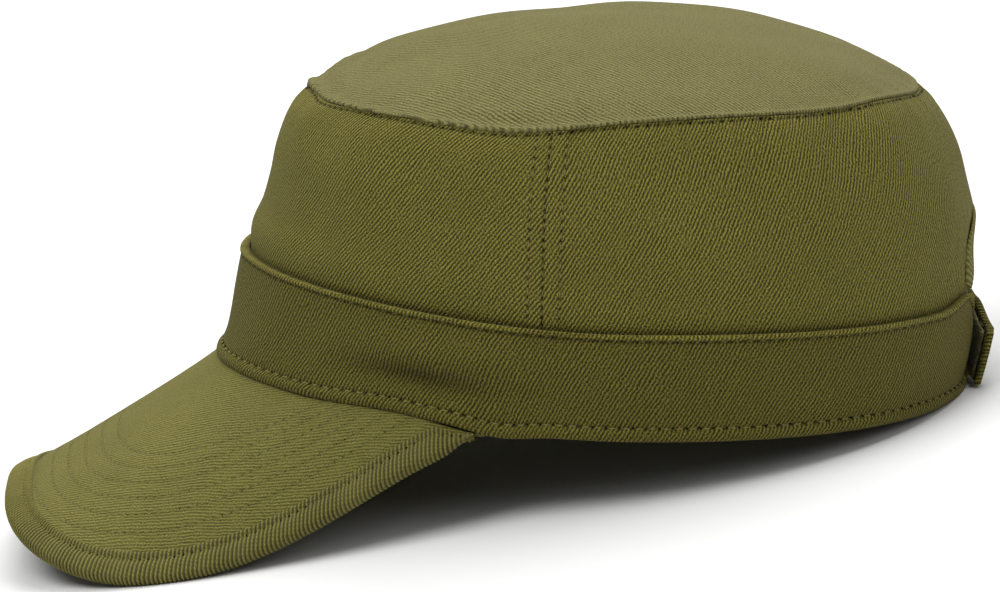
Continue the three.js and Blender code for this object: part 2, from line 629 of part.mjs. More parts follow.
const pieces = PARTS.map(({ name, make, colour }) => {
  const material = new THREE.MeshStandardMaterial({ color: colour, roughness: 0.95, metalness: 0 });
  const mesh = new THREE.Mesh(make(), material);
  mesh.name = name;
  return mesh;
});
settle(pieces);
const cap = new THREE.Group();
cap.name = "army_cap";
cap.add(...pieces);
export default cap;
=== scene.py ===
import math
from functools import partial

import bmesh
import bpy
import numpy as np
from mathutils import Matrix, Vector


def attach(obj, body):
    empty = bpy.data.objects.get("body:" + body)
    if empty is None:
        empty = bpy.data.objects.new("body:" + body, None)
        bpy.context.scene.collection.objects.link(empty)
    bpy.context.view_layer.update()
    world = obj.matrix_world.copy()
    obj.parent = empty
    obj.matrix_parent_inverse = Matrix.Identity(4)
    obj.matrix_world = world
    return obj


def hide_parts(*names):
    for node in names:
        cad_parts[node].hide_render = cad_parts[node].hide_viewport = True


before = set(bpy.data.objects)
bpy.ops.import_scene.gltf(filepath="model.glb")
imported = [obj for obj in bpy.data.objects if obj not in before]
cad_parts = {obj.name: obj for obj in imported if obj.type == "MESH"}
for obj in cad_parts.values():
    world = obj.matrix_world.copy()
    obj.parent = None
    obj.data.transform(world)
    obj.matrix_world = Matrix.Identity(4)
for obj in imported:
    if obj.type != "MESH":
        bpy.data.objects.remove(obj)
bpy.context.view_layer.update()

METRE = 0.001  # a millimetre in metres

# How the level cap stands on the floor
TIP = math.radians(11.9)  # front tipped up
STAND_BACK = 32.31
STAND_UP = 19.17

# Cloth
GAP = 0.3  # air between neighbouring pieces
PANEL_WALL = 1.7
BAND_WALL = 1.9
BAND_FACE = GAP + BAND_WALL  # the band's outer face, outside the side panels
RIB = 0.97  # from one twill rib to the next
BINDING_RIB = 1.25
RIB_SLOPE = {"crown": 48, "front": 53, "rear": 61, "band": 61, "peak": 57, "strap": 24}  # degrees
STITCH = 2.6  # length of one stitch
SEAM_STITCH = 3.1  # of the crown seam
BAND_STITCH = 3.5  # of the band's hem and top edge
NEEDLE_GAP = 0.26  # from a needle hole to where the thread rises
THREAD = 0.4  # thickness of the thread
FINE_THREAD = 0.34

# Crown and side panels
SEAM = 81  # section of the crown seam, measured up the side wall
SIDE_SEAM = math.radians(72.3)
DOME_APEX = 98.4
DOME_SHIFT = 2
DOME_POWER = {"front": 2.3, "back": 2.6}
PANEL_LOW = 1.6
PANEL_HIGH = SEAM - 0.6
SEAM_STITCH_UP = SEAM - 1.5

# Band
BAND_HEIGHT = 28
BAND_END_X = 28
BAND_END_RISE = 2.2
BAND_CORNER = 5
HEM_STITCH = 3.3  # rows of stitches above the bottom edge and below the top one
TOP_STITCH = 1.3

# Peak
PEAK_HALF_ANGLE = math.radians(61)
PEAK_WALL = 3
PEAK_END_WALL = 1.2
PEAK_RIM = {"half_width": 73.2, "centre": -41.9, "reach": 125.8, "power": 3.08, "end": -43.5}
PEAK_START = -2.23
PEAK_SLOPE = 0.618
PEAK_LEVELLING = 5.5e-4
PEAK_ARCH = 2.34e-3
PEAK_ARCH_GROWTH = 1.93e-5
PEAK_SIDES = 1.106e-6
PEAK_BLEND = 45
PEAK_ROOT_TUCK = 3.2
PEAK_END_TUCK = 5
BINDING_WIDTH = 7.6

# Rear arch and closure
ARCH_HALF_WIDTH = 27
ARCH_FOOT = 26
ARCH_RISE = 15
ARCH_POWER = 2.4
ARCH_BINDING_WIDTH = 6
ARCH_GAP = 0.6
STRAP_ROOT_X = 33
STRAP_END_X = 33
STRAP_LOW = 1.7
STRAP_HIGH = 22.8
STRAP_WALL = 2
STRAP_TAPER = 5
STRAP_CORNER = 1.5
STRAP_STITCH = 2.2  # rows of stitches, from the strap's edges
STRAP_GROOVE = 0.16  # how deep they are pulled in
PAD_WALL = 0.9
PAD_INSET = 1.5  # from the strap's long edges
CLOSURE_BULGE = 1.6

# Side wall, one row per section: "up" along the wall from its bottom edge; heights at the side,
# front and back; radii to the front, back and side; exponents of the front and the rear half.
WALL_COLUMNS = ("up", "side", "front", "back", "to_front", "to_back", "to_side", "bow_front", "bow_back")
WALL = np.array(
    [
        (0, -1.8, 2.3, -0.5, 107.4, 96.6, 79.8, 1.8, 2.35),
        (14, 12.4, 16, 11.8, 103.6, 98.4, 81.2, 1.84, 2.25),
        (28, 26.7, 32.2, 24.9, 100.9, 99.2, 81.8, 1.88, 2.16),
        (36, 35, 39, 34, 100.5, 98.6, 81.8, 1.95, 2.16),
        (45, 44, 46, 45, 97.4, 98.2, 81.4, 2.02, 2.16),
        (54, 53, 53.5, 55, 95.3, 97.2, 80.6, 2.1, 2.15),
        (64, 63, 63, 66, 93.6, 94, 79, 2.2, 2.12),
        (73, 73, 72, 75.5, 90.2, 88.2, 76.6, 2.25, 2.08),
        (81, 79.6, 77.6, 80.6, 85, 82.6, 73.7, 2.3, 2.05),
    ],
    dtype=[(name, float) for name in WALL_COLUMNS],
)
BROW_ROUND = 0.15

# Soft swells and hollows of the cloth: section, angle from the front (degrees, wearer's left
# positive), reach each way, and how far the wall is pushed out.
SWELLS = [
    {"what": "hollow of the band beside the peak", "up": 7, "angle": 66, "reach": (9, 17), "out": -1.5},
    {"what": "bulge above the rear arch", "up": 46, "angle": 180, "reach": (5, 24), "out": 1.2},
    {"what": "flare of the arch, left", "up": 33.5, "angle": 165, "reach": (5, 10), "out": 1.3},
    {"what": "flare of the arch, right", "up": 33.5, "angle": -165, "reach": (5, 10), "out": 1.3},
    {"what": "crease below the seam", "up": 70, "angle": 129, "reach": (8, 5), "out": -0.9},
    {"what": "fold at the front corner", "up": 73, "angle": 24, "reach": (6, 6), "out": -0.9},
    {"what": "fold at the front corner, right", "up": 73, "angle": -26, "reach": (6, 6), "out": -0.7},
]

# How the crown seam rises and falls round the cap, alike on both sides, by the angle from the front.
SEAM_WAVE = np.array(
    [(0, 1.3), (6, 2.2), (12, 1.8), (18, 0.9), (30, 1), (42, 0.8), (50, 0.1), (58, -0.7), (65, -1)]
    + [(72, -0.3), (80, 0.9), (90, 2.2), (100, 3), (112, 3.3), (125, 2.9), (135, 2.8), (145, 3.1)]
    + [(154, 2.3), (162, 1.1), (170, 0.2), (180, 0)],
    dtype=[("angle", float), ("rise", float)],
)
FRONT_DIP = {"angle": -13, "reach": 13, "rise": -3.6}  # the seam sags right of the front's middle

# The bottom edge of the band is drawn up by each side of the peak and hangs lower behind it.
HEM_WAVE = [{"angle": 44, "reach": 10, "rise": 1.4}, {"angle": 65, "reach": 6.5, "rise": -1.5}]


def smooth_table(x, y, at):
    """Smooth curve through the points (x, y)."""
    span = np.diff(x)
    rise = np.diff(y) / span
    middle = (rise[:-1] * span[1:] + rise[1:] * span[:-1]) / (span[:-1] + span[1:])
    slope = np.concatenate([rise[:1], middle, rise[-1:]])
    i = np.clip(np.searchsorted(x, at) - 1, 0, len(x) - 2)
    s = (at - x[i]) / span[i]
    start = y[i] * (1 + 2 * s) * (1 - s) ** 2 + slope[i] * span[i] * s * (1 - s) ** 2
    return start + y[i + 1] * s * s * (3 - 2 * s) + slope[i + 1] * span[i] * s * s * (s - 1)


def smoothstep(x, low, high):
    t = np.clip((x - low) / (high - low), 0, 1)
    return t * t * (3 - 2 * t)


def bell(x, reach):
    return np.exp(-((x / reach) ** 2))


def turn_from(angle, other):
    """Degrees from another angle, given in degrees, to this one."""
    turn = np.degrees(angle) - other
    return turn - 360 * np.round(turn / 360)


def swell(up, angle):
    """How far the soft swells push the wall out."""
    out = 0
    for row in SWELLS:
        near = bell(turn_from(angle, row["angle"]), row["reach"][1])
        out = out + row["out"] * bell(up - row["up"], row["reach"][0]) * near
    return out


def lifted(up, angle):
    """How far the crown seam and the hem lift the wall round them."""
    turn = np.abs(turn_from(angle, 0))
    dip = FRONT_DIP["rise"] * bell(turn_from(angle, FRONT_DIP["angle"]), FRONT_DIP["reach"])
    seam = smooth_table(SEAM_WAVE["angle"], SEAM_WAVE["rise"], turn) + dip
    hem = sum(row["rise"] * bell(turn - row["angle"], row["reach"]) for row in HEM_WAVE)
    return seam * smoothstep(up, 50, SEAM) + hem * (1 - smoothstep(up, 2, 20))


def wall(up, angle, out=0.0):
    """Points of the side wall, out millimetres outside the face of the side panels."""
    up, angle, out = np.broadcast_arrays(*(np.asarray(given, float) for given in (up, angle, out)))

    def value(name):
        return smooth_table(WALL["up"], WALL[name], up)

    c, s = np.cos(angle), np.sin(angle)
    to_end = np.where(c > 0, value("to_front"), value("to_back"))
    bow = np.where(c > 0, value("bow_front"), value("bow_back"))

    def rounded(share):
        return (share * share + BROW_ROUND**2) ** (bow / 2) - BROW_ROUND**bow

    side = rounded(s) / rounded(1.0) * value("to_side") ** -bow
    radius = (side + np.abs(c / to_end) ** bow) ** (-1 / bow) + out + swell(up, angle)
    level = value("side")
    ends = np.where(c > 0, value("front"), value("back"))
    height = level + (ends - level) * c * c + lifted(up, angle)
    return np.stack([radius * s, -radius * c, height], -1)


def unit(directions):
    """The same directions, each of length 1."""
    return directions / np.linalg.norm(directions, axis=-1)[..., None]


def lengths(points):
    """Distance along a line of points, from its start."""
    return np.concatenate([[0.0], np.cumsum(np.linalg.norm(np.diff(points, axis=0), axis=1))])


# Distance round the wall at mid height against the angle, from the middle of the front
TURN = np.linspace(-math.pi, math.pi, 1441)
AROUND = lengths(wall(45.0, TURN))
AROUND -= AROUND[len(AROUND) // 2]
REAR_MIDDLE = float(AROUND[-1])


def around(angle):
    return np.interp(angle, TURN, AROUND)


def angle_at(distance):
    """Angle at a distance round the wall, which may run on past the middle of the back."""
    over = distance > REAR_MIDDLE
    angle = np.interp(np.where(over, distance - 2 * REAR_MIDDLE, distance), AROUND, TURN)
    return np.where(over, angle + 2 * math.pi, angle)


SIDE_SEAM_AT = float(around(SIDE_SEAM))


def rear_angle(x, up=ARCH_FOOT):
    """Angle on the rear half where the wall is x to the side of its middle."""
    x, up = np.broadcast_arrays(np.asarray(x, float), np.asarray(up, float))
    low, high = np.full(x.shape, math.pi / 2), np.full(x.shape, math.pi)
    for _ in range(36):
        middle = (low + high) / 2
        outside = wall(up, middle)[..., 0] > np.abs(x)
        low, high = np.where(outside, middle, low), np.where(outside, high, middle)
    return np.where(x >= 0, low, 2 * math.pi - low)


def waves(points, length, seed, count=20):
    """Gentle unevenness, about -1 to 1, with bumps about length apart, the same on every run."""
    rng = np.random.default_rng(seed)
    way = rng.normal(size=(count, points.shape[-1]))
    way *= (rng.uniform(0.6, 1.5, count) / np.linalg.norm(way, axis=1))[:, None] * 2 * math.pi / length
    phase = rng.uniform(0, 2 * math.pi, count)
    return sum(np.sin(points @ way[k] + phase[k]) for k in range(count)) / math.sqrt(count)


def pair(a, b):
    """Two coordinates as points."""
    return np.stack(np.broadcast_arrays(a, b), -1)


def spaced(low, high, wide, near=(), fine=0.3, reach=1.5):
    """Values from low to high, wide apart, and closer together around each value of near."""
    x = np.linspace(low, high, 6000)
    gap = np.full_like(x, wide)
    for value in near:
        gap = np.minimum(gap, fine + (wide - fine) * smoothstep(np.abs(x - value), reach, 2 * reach))
    count = np.concatenate([[0], np.cumsum(np.diff(x) / (gap[:-1] + gap[1:]) * 2)])
    return np.interp(np.linspace(0, count[-1], math.ceil(count[-1]) + 1), count, x)


def pits(along, pitch=STITCH):
    """1 where the needle went through, 0 between, for a distance along the row of stitches."""
    off = (along / pitch + 0.5) % 1 - 0.5
    return bell(off * pitch, 0.5)


def on_floor(points):
    """Level millimetres to the frame's metres; cloth that meets the floor is pressed flat on it."""
    x, y, z = points[..., 0], points[..., 1], points[..., 2]
    back = math.cos(TIP) * y + math.sin(TIP) * z + STAND_BACK
    up = math.cos(TIP) * z - math.sin(TIP) * y + STAND_UP
    return np.stack([x, back, np.maximum(up, 0.0)], -1) * METRE


# Mesh building
class Skin:
    """Collects rows of points and the faces between them. Each point has its place in the cloth
    (across the ribs, along the ribs) and a shade: above 0, painted shade in needle holes and
    creases; below 0, painted highlight on edges that catch the light."""

    def __init__(self):
        self.points, self.cloth, self.shade, self.faces = [], [], [], []
        self.count = 0

    def row(self, points, cloth=(0, 0), shade=0.0):
        points = np.atleast_2d(points)
        self.points.append(points)
        self.cloth.append(np.broadcast_to(cloth, (len(points), 2)))
        self.shade.append(np.broadcast_to(shade, len(points)))
        self.count += len(points)
        return np.arange(self.count - len(points), self.count)

    def strip(self, a, b, wrap=False):
        """Quads between two rows of equal length."""
        if wrap:
            a, b = np.append(a, a[0]), np.append(b, b[0])
        self.faces += np.stack([a[:-1], a[1:], b[1:], b[:-1]], 1).tolist()

    def strips(self, rows, wrap=False):
        """Quads from each row to the next."""
        for a, b in zip(rows[:-1], rows[1:]):
            self.strip(a, b, wrap)

    def halve(self, fine, coarse):
        """Triangles from a closed ring to one with half as many points."""
        n = len(coarse)
        for k in range(n):
            low, middle, high = (int(fine[(2 * k + step) % (2 * n)]) for step in range(3))
            here, after = int(coarse[k]), int(coarse[(k + 1) % n])
            self.faces += [[low, middle, here], [middle, after, here], [middle, high, after]]

    def fan(self, ring, pole):
        self.faces += [[int(a), int(b), int(pole)] for a, b in zip(ring, np.roll(ring, -1))]

    def close(self, a, b):
        """Triangles between two lines of points that run the same way, whatever their counts."""
        i = j = 0
        end_a, end_b = len(a) - 1, len(b) - 1
        while i < end_a or j < end_b:
            if j == end_b or (i < end_a and (i + 1) * end_b <= (j + 1) * end_a):
                self.faces.append([int(a[i]), int(a[i + 1]), int(b[j])])
                i += 1
            else:
                self.faces.append([int(a[i]), int(b[j + 1]), int(b[j])])
                j += 1

    def make(self, name, slot, *nodes, material=None):
        """Makes the object in the frame, in its material, and hides the CAD nodes it is given."""
        mesh = bpy.data.meshes.new(name)
        mesh.from_pydata(on_floor(np.concatenate(self.points)).tolist(), [], self.faces)
        work = bmesh.new()
        work.from_mesh(mesh)
        bmesh.ops.recalc_face_normals(work, faces=work.faces)
        work.to_mesh(mesh)
        work.free()
        corners = np.empty(len(mesh.loops), int)
        mesh.loops.foreach_get("vertex_index", corners)
        cloth = np.concatenate(self.cloth)[corners].astype(np.float32)
        mesh.uv_layers.new(name="Cloth").data.foreach_set("uv", cloth.ravel())
        shade = np.concatenate(self.shade).astype(np.float32)
        # the shade as an attribute: painted shade above 0, painted highlight below 0
        mesh.attributes.new("PaintedShadeAndHighlight", "FLOAT", "POINT").data.foreach_set("value", shade)
        mesh.polygons.foreach_set("use_smooth", np.ones(len(mesh.polygons), bool))
        mesh.materials.append(material or MATERIALS[slot])
        thing = bpy.data.objects.new(name, mesh)
        bpy.context.scene.collection.objects.link(thing)
        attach(thing, "root")
        if nodes:
            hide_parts(*nodes)


def sheet(outer, cloth, inner, shade=0.0):
    """A closed cloth sheet: outer[row, column] points, and fewer inner rows over the same columns."""
    skin = Skin()
    shade = np.broadcast_to(shade, outer.shape[:2])
    outside = [skin.row(*row) for row in zip(outer, cloth, shade)]
    picks = np.round(np.linspace(0, len(outer) - 1, len(inner))).astype(int)
    inside = [skin.row(points, cloth[k]) for points, k in zip(inner, picks)]
    skin.strips(outside)
    skin.strips(inside)
    skin.strip(inside[0], outside[0])
    skin.strip(outside[-1], inside[-1])
    for end in (0, -1):
        skin.close([row[end] for row in outside], [row[end] for row in inside])
    return skin


def ribbed(across, up, degrees):
    """Place in the cloth of points of a flat panel, for ribs that rise at this angle."""
    c, s = math.cos(math.radians(degrees)), math.sin(math.radians(degrees))
    return np.stack([across * s - up * c, across * c + up * s], -1)


# Stitches
def circle(turns, a, b):
    """Points of a circle of radius 1 in the plane of two directions."""
    return np.cos(turns)[:, None] * a + np.sin(turns)[:, None] * b


def stitch_row(skin, marks, path, normals, pitch=STITCH, lift=0.05, thread=THREAD, hole=0.36):
    """Adds a row of stitches to skin. Each spans one pitch of marks, the distance along path, and is
    arched out of the cloth between two needle holes, drawn as small discs of painted shade, some larger."""
    sides = np.linspace(0, 2 * math.pi, 6, endpoint=False)
    share = np.linspace(0, 1, 6)
    arch = np.sin(share * math.pi)
    table = np.concatenate([path, normals], 1)
    for k in range(math.ceil(marks[0] / pitch), math.floor(marks[-1] / pitch)):
        spots = k * pitch + NEEDLE_GAP + share * (pitch - 2 * NEEDLE_GAP)
        here = np.stack([np.interp(spots, marks, column) for column in table.T], -1)
        up = unit(here[:, 3:])
        middle = here[:, :3] + up * (lift + 0.34 * (arch - 1))[:, None]
        ahead = unit(np.gradient(middle, axis=0))
        across = np.cross(ahead, up)
        thick = thread / 2 * (0.4 + 0.6 * arch**0.5)
        rings = []
        for i in range(len(share)):
            ring = middle[i] + thick[i] * circle(sides, across[i], up[i])
            # the thread's ends are painted darker, as shade where it dives into the cloth
            rings.append(skin.row(ring, pair(sides * 0.2, spots[i]), 1 - smoothstep(arch[i], 0.1, 0.75)))
        skin.strips(rings, wrap=True)
        for ring, spot in ((rings[0], middle[0]), (rings[-1], middle[-1])):
            skin.fan(ring, skin.row(spot, shade=1.0)[0])
        # the needle hole: a flat disc just above the cloth, in painted shade
        pit = np.array([np.interp(k * pitch, marks, column) for column in path.T]) + up[0] * 0.05
        reach = hole * (0.85 + 0.25 * math.sin(7.3 * k))
        ring = skin.row(pit + reach * circle(sides, across[0], ahead[0]), shade=1.15)
        for side in (-0.05, 0.03):
            skin.fan(ring, skin.row(pit + side * up[0], shade=1.15)[0])


def facing(surface, a, b, step=1.0):
    """Outward directions of surface(a, b), where a runs up the cloth and b along it."""
    along = surface(a, b + step) - surface(a, b - step)
    return unit(np.cross(along, surface(a + step, b) - surface(a - step, b)))


# Materials
def new_material(name):
    material = bpy.data.materials.new(name)
    material.use_nodes = True
    tree = material.node_tree
    return material, tree, tree.nodes["Principled BSDF"]


def calc(tree, kind, *values):
    """A Math node; each value is a number or another node's output."""
    node = tree.nodes.new("ShaderNodeMath")
    node.operation = kind
    for socket, value in zip(node.inputs, values):
        if isinstance(value, (int, float)):
            socket.default_value = value
        else:
            tree.links.new(value, socket)
    return node.outputs[0]


def noise(tree, vector, scale, detail=2.0):
    node = tree.nodes.new("ShaderNodeTexNoise")
    node.inputs["Scale"].default_value = scale
    node.inputs["Detail"].default_value = detail
    tree.links.new(vector, node.inputs["Vector"])
    return node.outputs["Fac"]


def wave_of(tree, turns):
    """0 to 1 and back once in each whole turn."""
    angle = calc(tree, "MULTIPLY", turns, 2 * math.pi)
    return calc(tree, "MULTIPLY_ADD", calc(tree, "COSINE", angle), 0.5, 0.5)


def paint(tree, shader, colour, tone):
    """The colour times a tone that varies over the cloth."""
    scale = tree.nodes.new("ShaderNodeVectorMath")
    scale.operation = "SCALE"
    scale.inputs[0].default_value = colour
    tree.links.new(tone, scale.inputs["Scale"])
    tree.links.new(scale.outputs[0], shader.inputs["Base Color"])


def roughen(tree, shader, height, depth):
    """Bump of this depth in millimetres."""
    bump = tree.nodes.new("ShaderNodeBump")
    bump.inputs["Distance"].default_value = depth * METRE
    tree.links.new(height, bump.inputs["Height"])
    tree.links.new(bump.outputs["Normal"], shader.inputs["Normal"])


def cloth_place(tree):
    node = tree.nodes.new("ShaderNodeUVMap")
    node.uv_map = "Cloth"
    return node.outputs["UV"]


def twill(name, colour, pitch=RIB, depth=0.25, contrast=1.0, waver=1.0):
    """Cotton twill: ribs made of short floats of yarn that step from rib to rib."""
    material, tree, shader = new_material(name)
    place = cloth_place(tree)
    split = tree.nodes.new("ShaderNodeSeparateXYZ")
    tree.links.new(place, split.inputs[0])
    uneven = partial(noise, tree, place)
    times = partial(calc, tree, "MULTIPLY")
    scaled = partial(calc, tree, "MULTIPLY_ADD")  # the first times the second, plus the third
    across = scaled(uneven(0.03), 3.0 * waver, split.outputs["X"])
    across = scaled(uneven(0.5), 0.8 * waver, across)
    ribs = calc(tree, "DIVIDE", across, pitch)
    step = times(calc(tree, "FLOOR", ribs), 0.37)
    floats = scaled(split.outputs["Y"], 1 / 1.05, step)
    yarn = scaled(wave_of(tree, floats), 0.5, 0.5)
    # the ribs come and go over a grain of loose fibres
    strength = scaled(uneven(0.22), 1.6 * waver, 1 - 0.8 * waver)
    raised = calc(tree, "SUBTRACT", wave_of(tree, ribs), 0.5)
    height = times(scaled(raised, strength, 0.5), yarn)
    grain = calc(tree, "SUBTRACT", uneven(2.0, 3.0), 0.5)
    height = scaled(grain, 0.6 + waver, height)
    roughen(tree, shader, height, depth)

    # painted shade between the ribs, and from the attribute painted shade in needle holes and creases and
    # painted highlight on edges, over a faintly uneven dye
    tone = scaled(height, contrast, 1 - 0.39 * contrast)
    tone = calc(tree, "MINIMUM", calc(tree, "MAXIMUM", tone, 0.3), 2.2)
    dye = scaled(uneven(0.045, 3.0), 0.2, 0.9)
    painted_light = tree.nodes.new("ShaderNodeAttribute")
    painted_light.attribute_name = "PaintedShadeAndHighlight"
    dark = scaled(painted_light.outputs["Fac"], -0.85, 1.0)
    paint(tree, shader, colour, times(times(tone, dye), dark))
    shader.inputs["Roughness"].default_value = 0.85
    shader.inputs["Specular IOR Level"].default_value = 0.1
    shader.inputs["Sheen Weight"].default_value = 0.04
    shader.inputs["Sheen Roughness"].default_value = 0.4
    return material


def pile(name, colour):
    """Hook or loop tape: a dull, mottled pile."""
    material, tree, shader = new_material(name)
    place = cloth_place(tree)
    mottle = calc(tree, "MULTIPLY_ADD", noise(tree, place, 0.4, 5.0), 4.4, -1.2)
    paint(tree, shader, colour, calc(tree, "MAXIMUM", mottle, 0.15))
    roughen(tree, shader, noise(tree, place, 1.6, 3.0), 0.4)
    shader.inputs["Roughness"].default_value = 0.7
    shader.inputs["Sheen Weight"].default_value = 0.1
    return material


# One olive twill in five copies whose colours differ as painted light: the top paler and bluer as a painted
# sheen of light from above, the band darker as painted shade on its downward face, the peak and binding
# paler as painted light, the side's higher contrast more painted shade between its ribs.
MATERIALS = {
    "twill_top": twill("olive_twill_top_painted_sheen", (0.142, 0.129, 0.045), contrast=1.1),
    "twill_side": twill("olive_twill_side", (0.13, 0.117, 0.023), contrast=2.0),
    "twill_band": twill("olive_twill_band_painted_shade", (0.098, 0.087, 0.016), contrast=1.9),
    "twill_peak": twill("olive_twill_peak", (0.146, 0.135, 0.034), contrast=0.95, pitch=0.92),
    "twill_binding": twill("olive_twill_binding", (0.15, 0.137, 0.038), pitch=BINDING_RIB, waver=0),
    "hook_tape": pile("olive_hook_tape", (0.088, 0.08, 0.018)),
    "loop_tape": pile("olive_loop_tape", (0.07, 0.066, 0.022)),
}
THREADS = twill("olive_thread", (0.19, 0.172, 0.06), pitch=0.35, depth=0.05, contrast=0.3, waver=0)


# Crown top
BEAD = 0.55  # radius of the panel's edge where it is turned over the seam


def fullness(angle):
    """Where the turned edge is fuller: at the front, and where the seam dips at the sides."""
    turn = np.abs(turn_from(angle, 0))
    return 1.5 * bell(turn, 20) + bell(turn - 61, 12)


def dome(share, angle, lower=0.0):
    """Points of the domed top: share is 0 in the middle and 1 at the seam."""
    rim = wall(SEAM, angle, -lower)
    power = DOME_POWER["front"] + (DOME_POWER["back"] - DOME_POWER["front"]) * (1 - np.cos(angle)) / 2
    rise = 1 - share**power
    x, y, z = rim[..., 0] * share, rim[..., 1] * share + DOME_SHIFT * rise, rim[..., 2]
    return np.stack([x, y, z + (DOME_APEX - z) * rise - lower], -1)


def puckers(at, away, seed):
    """Small gathers drawn in by the crown seam, strongest beside it."""
    return waves(pair(at, away * 0.3), 8, seed) * bell(away, 7)


def crown_face(share, angle):
    """The crown top's outer face, with soft hollows and the seam's puckers."""
    points = dome(share, angle)
    away = (1 - share) * 80
    soft = 0.45 * waves(points[..., :2], 46, 11) * smoothstep(away, 0, 12)
    valley = 0.5 * fullness(angle) * bell(away - 3.5, 1.6)
    points[..., 2] += soft + 0.2 * puckers(around(angle), away, 12) - valley
    return points


def crown_top():
    count = 736
    angles = np.linspace(-math.pi, math.pi, count, endpoint=False)
    rings = [(share, 8) for share in (0.03, 0.06, 0.1, 0.14)]
    rings += [(share, 4) for share in np.arange(0.18, 0.4, 0.03)]
    rings += [(share, 2) for share in np.arange(0.4, 0.74, 0.016)]
    rings += [(share, 1) for share in np.arange(0.74, 0.983, 0.0085)]
    skin = Skin()
    ribs = RIB_SLOPE["crown"]

    def add(points, before):
        this = skin.row(points, ribbed(points[:, 0], points[:, 1], ribs))
        if len(this) == 2 * len(before):
            skin.halve(this, before)
        else:
            skin.strip(before, this, wrap=True)
        return this

    middle = np.zeros(1)
    first = crown_face(np.full(count // 8, rings[0][0]), angles[::8])
    last = skin.row(first, ribbed(first[:, 0], first[:, 1], ribs))
    skin.fan(last, skin.row(crown_face(middle, middle))[0])
    for share, every in rings[1:]:
        last = add(crown_face(np.full(count // every, share), angles[::every]), last)

    # the turned edge: a thin bead, fuller and lumpier in places
    at = around(angles)
    full = fullness(angles)
    bead = BEAD + 0.35 * full + (0.05 + 0.1 * full) * waves(pair(at, 0), 7, 13)
    for turn in np.radians(np.arange(105, -111, -15)):
        points = wall(SEAM, angles, bead * math.cos(turn) - 0.3)
        points[:, 2] += bead * math.sin(turn) + 0.1
        last = add(points, last)
    points = wall(SEAM, angles, -PANEL_WALL)
    points[:, 2] -= BEAD
    last = add(points, last)
    for share in (0.97, 0.92, 0.85, 0.75, 0.6, 0.45, 0.3, 0.15):
        last = add(dome(np.full(count, share), angles, PANEL_WALL), last)
    skin.fan(last, skin.row(dome(middle, middle, PANEL_WALL))[0])
    skin.make("crown_top_cloth", "twill_top", "crown_top")


# Side panels
SEAM_ROWS = {"front": -3.9, "middle": 0.0, "back": 4.6}  # rows of stitches across the side seam
SEAM_AIR = 0.1  # from the middle of the side seam to each panel's end


def front_half(at):
    """Distance round the wall from the middle of the front, on whichever side is nearer."""
    at = np.abs(at)
    return np.minimum(at, 2 * REAR_MIDDLE - at)


def side_relief(up, at):
    """How far the side panels' face stands out."""
    out = 0.4 * waves(pair(up, at), 38, 21) * smoothstep(up, 26, 40)
    out = out + 0.25 * puckers(at, PANEL_HIGH - up, 22)
    out = out - bell(up - SEAM_STITCH_UP, 0.7) * (0.12 + 0.35 * pits(at, SEAM_STITCH))
    off = front_half(at) - SIDE_SEAM_AT
    out = out + 0.35 * (smoothstep(off, -5.2, -4) - smoothstep(off, 4.8, 6)) - 0.22 * bell(off, 0.3)
    for row in SEAM_ROWS.values():
        out = out - 0.2 * bell(off - row, 0.6) * (0.7 + 0.8 * pits(up))
    gathers = waves(pair(up * 0.15, at), 9, 23) * bell(up - 40, 11)
    return out + 0.35 * gathers * smoothstep(front_half(at), REAR_MIDDLE - 48, REAR_MIDDLE - 25)


def side_painted_shade(up, at):
    """Painted shade in needle holes and along the seam lines, and a painted shadow in the fold where the
    panels meet the band.
    """
    off = front_half(at) - SIDE_SEAM_AT
    dark = bell(up - SEAM_STITCH_UP, 0.5) * (0.35 + 0.6 * pits(at, SEAM_STITCH))
    # painted shadow on the panels just above the band's top edge
    dark = np.maximum(dark, 0.4 * bell(up - BAND_HEIGHT - 0.4, 0.9))
    for row in SEAM_ROWS.values():
        dark = np.maximum(dark, 0.8 * bell(off - row, 0.4) * pits(up))
    return np.maximum(dark, 0.35 * bell(off, 0.25))


def side_base(up, at):
    return wall(up, angle_at(at))


def side_face(up, at):
    return wall(up, angle_at(at), side_relief(up, at))


def side_panel(name, node, stations, bottom, ribs):
    """One side panel over distances round the wall, above its bottom edge."""
    seam_share = (SEAM_STITCH_UP - PANEL_LOW) / (PANEL_HIGH - PANEL_LOW)
    shares = spaced(0, 1, 0.0115, near=(seam_share,), fine=0.004, reach=0.02)
    up = bottom + (PANEL_HIGH - bottom) * shares[:, None]
    at = np.broadcast_to(stations, up.shape)
    inner_up = bottom + (PANEL_HIGH - bottom) * np.linspace(0, 1, 14)[:, None]
    inner = wall(inner_up, angle_at(stations), -PANEL_WALL)
    skin = sheet(side_face(up, at), ribbed(at, up, ribs), inner, side_painted_shade(up, at))
    skin.make(name, "twill_side", node)


def rear_low(x):
    """Bottom edge of the rear panel, and edge of its arch, at a distance from the middle."""
    share = np.minimum(np.abs(x) / ARCH_HALF_WIDTH, 1)
    arch = ARCH_FOOT + ARCH_RISE * (1 - share**ARCH_POWER) ** (1 / ARCH_POWER)
    fall = smoothstep(np.abs(x), STRAP_ROOT_X + 2.2, STRAP_ROOT_X + 16)
    return arch + (PANEL_LOW - ARCH_FOOT) * fall


def side_front():
    end = SIDE_SEAM_AT - SEAM_AIR
    row = end + SEAM_ROWS["front"]
    stations = spaced(-end, end, 0.8, near=(-end, -row, row, end))
    bottom = np.full_like(stations, PANEL_LOW)
    side_panel("side_front_cloth", "side_front", stations, bottom, RIB_SLOPE["front"])


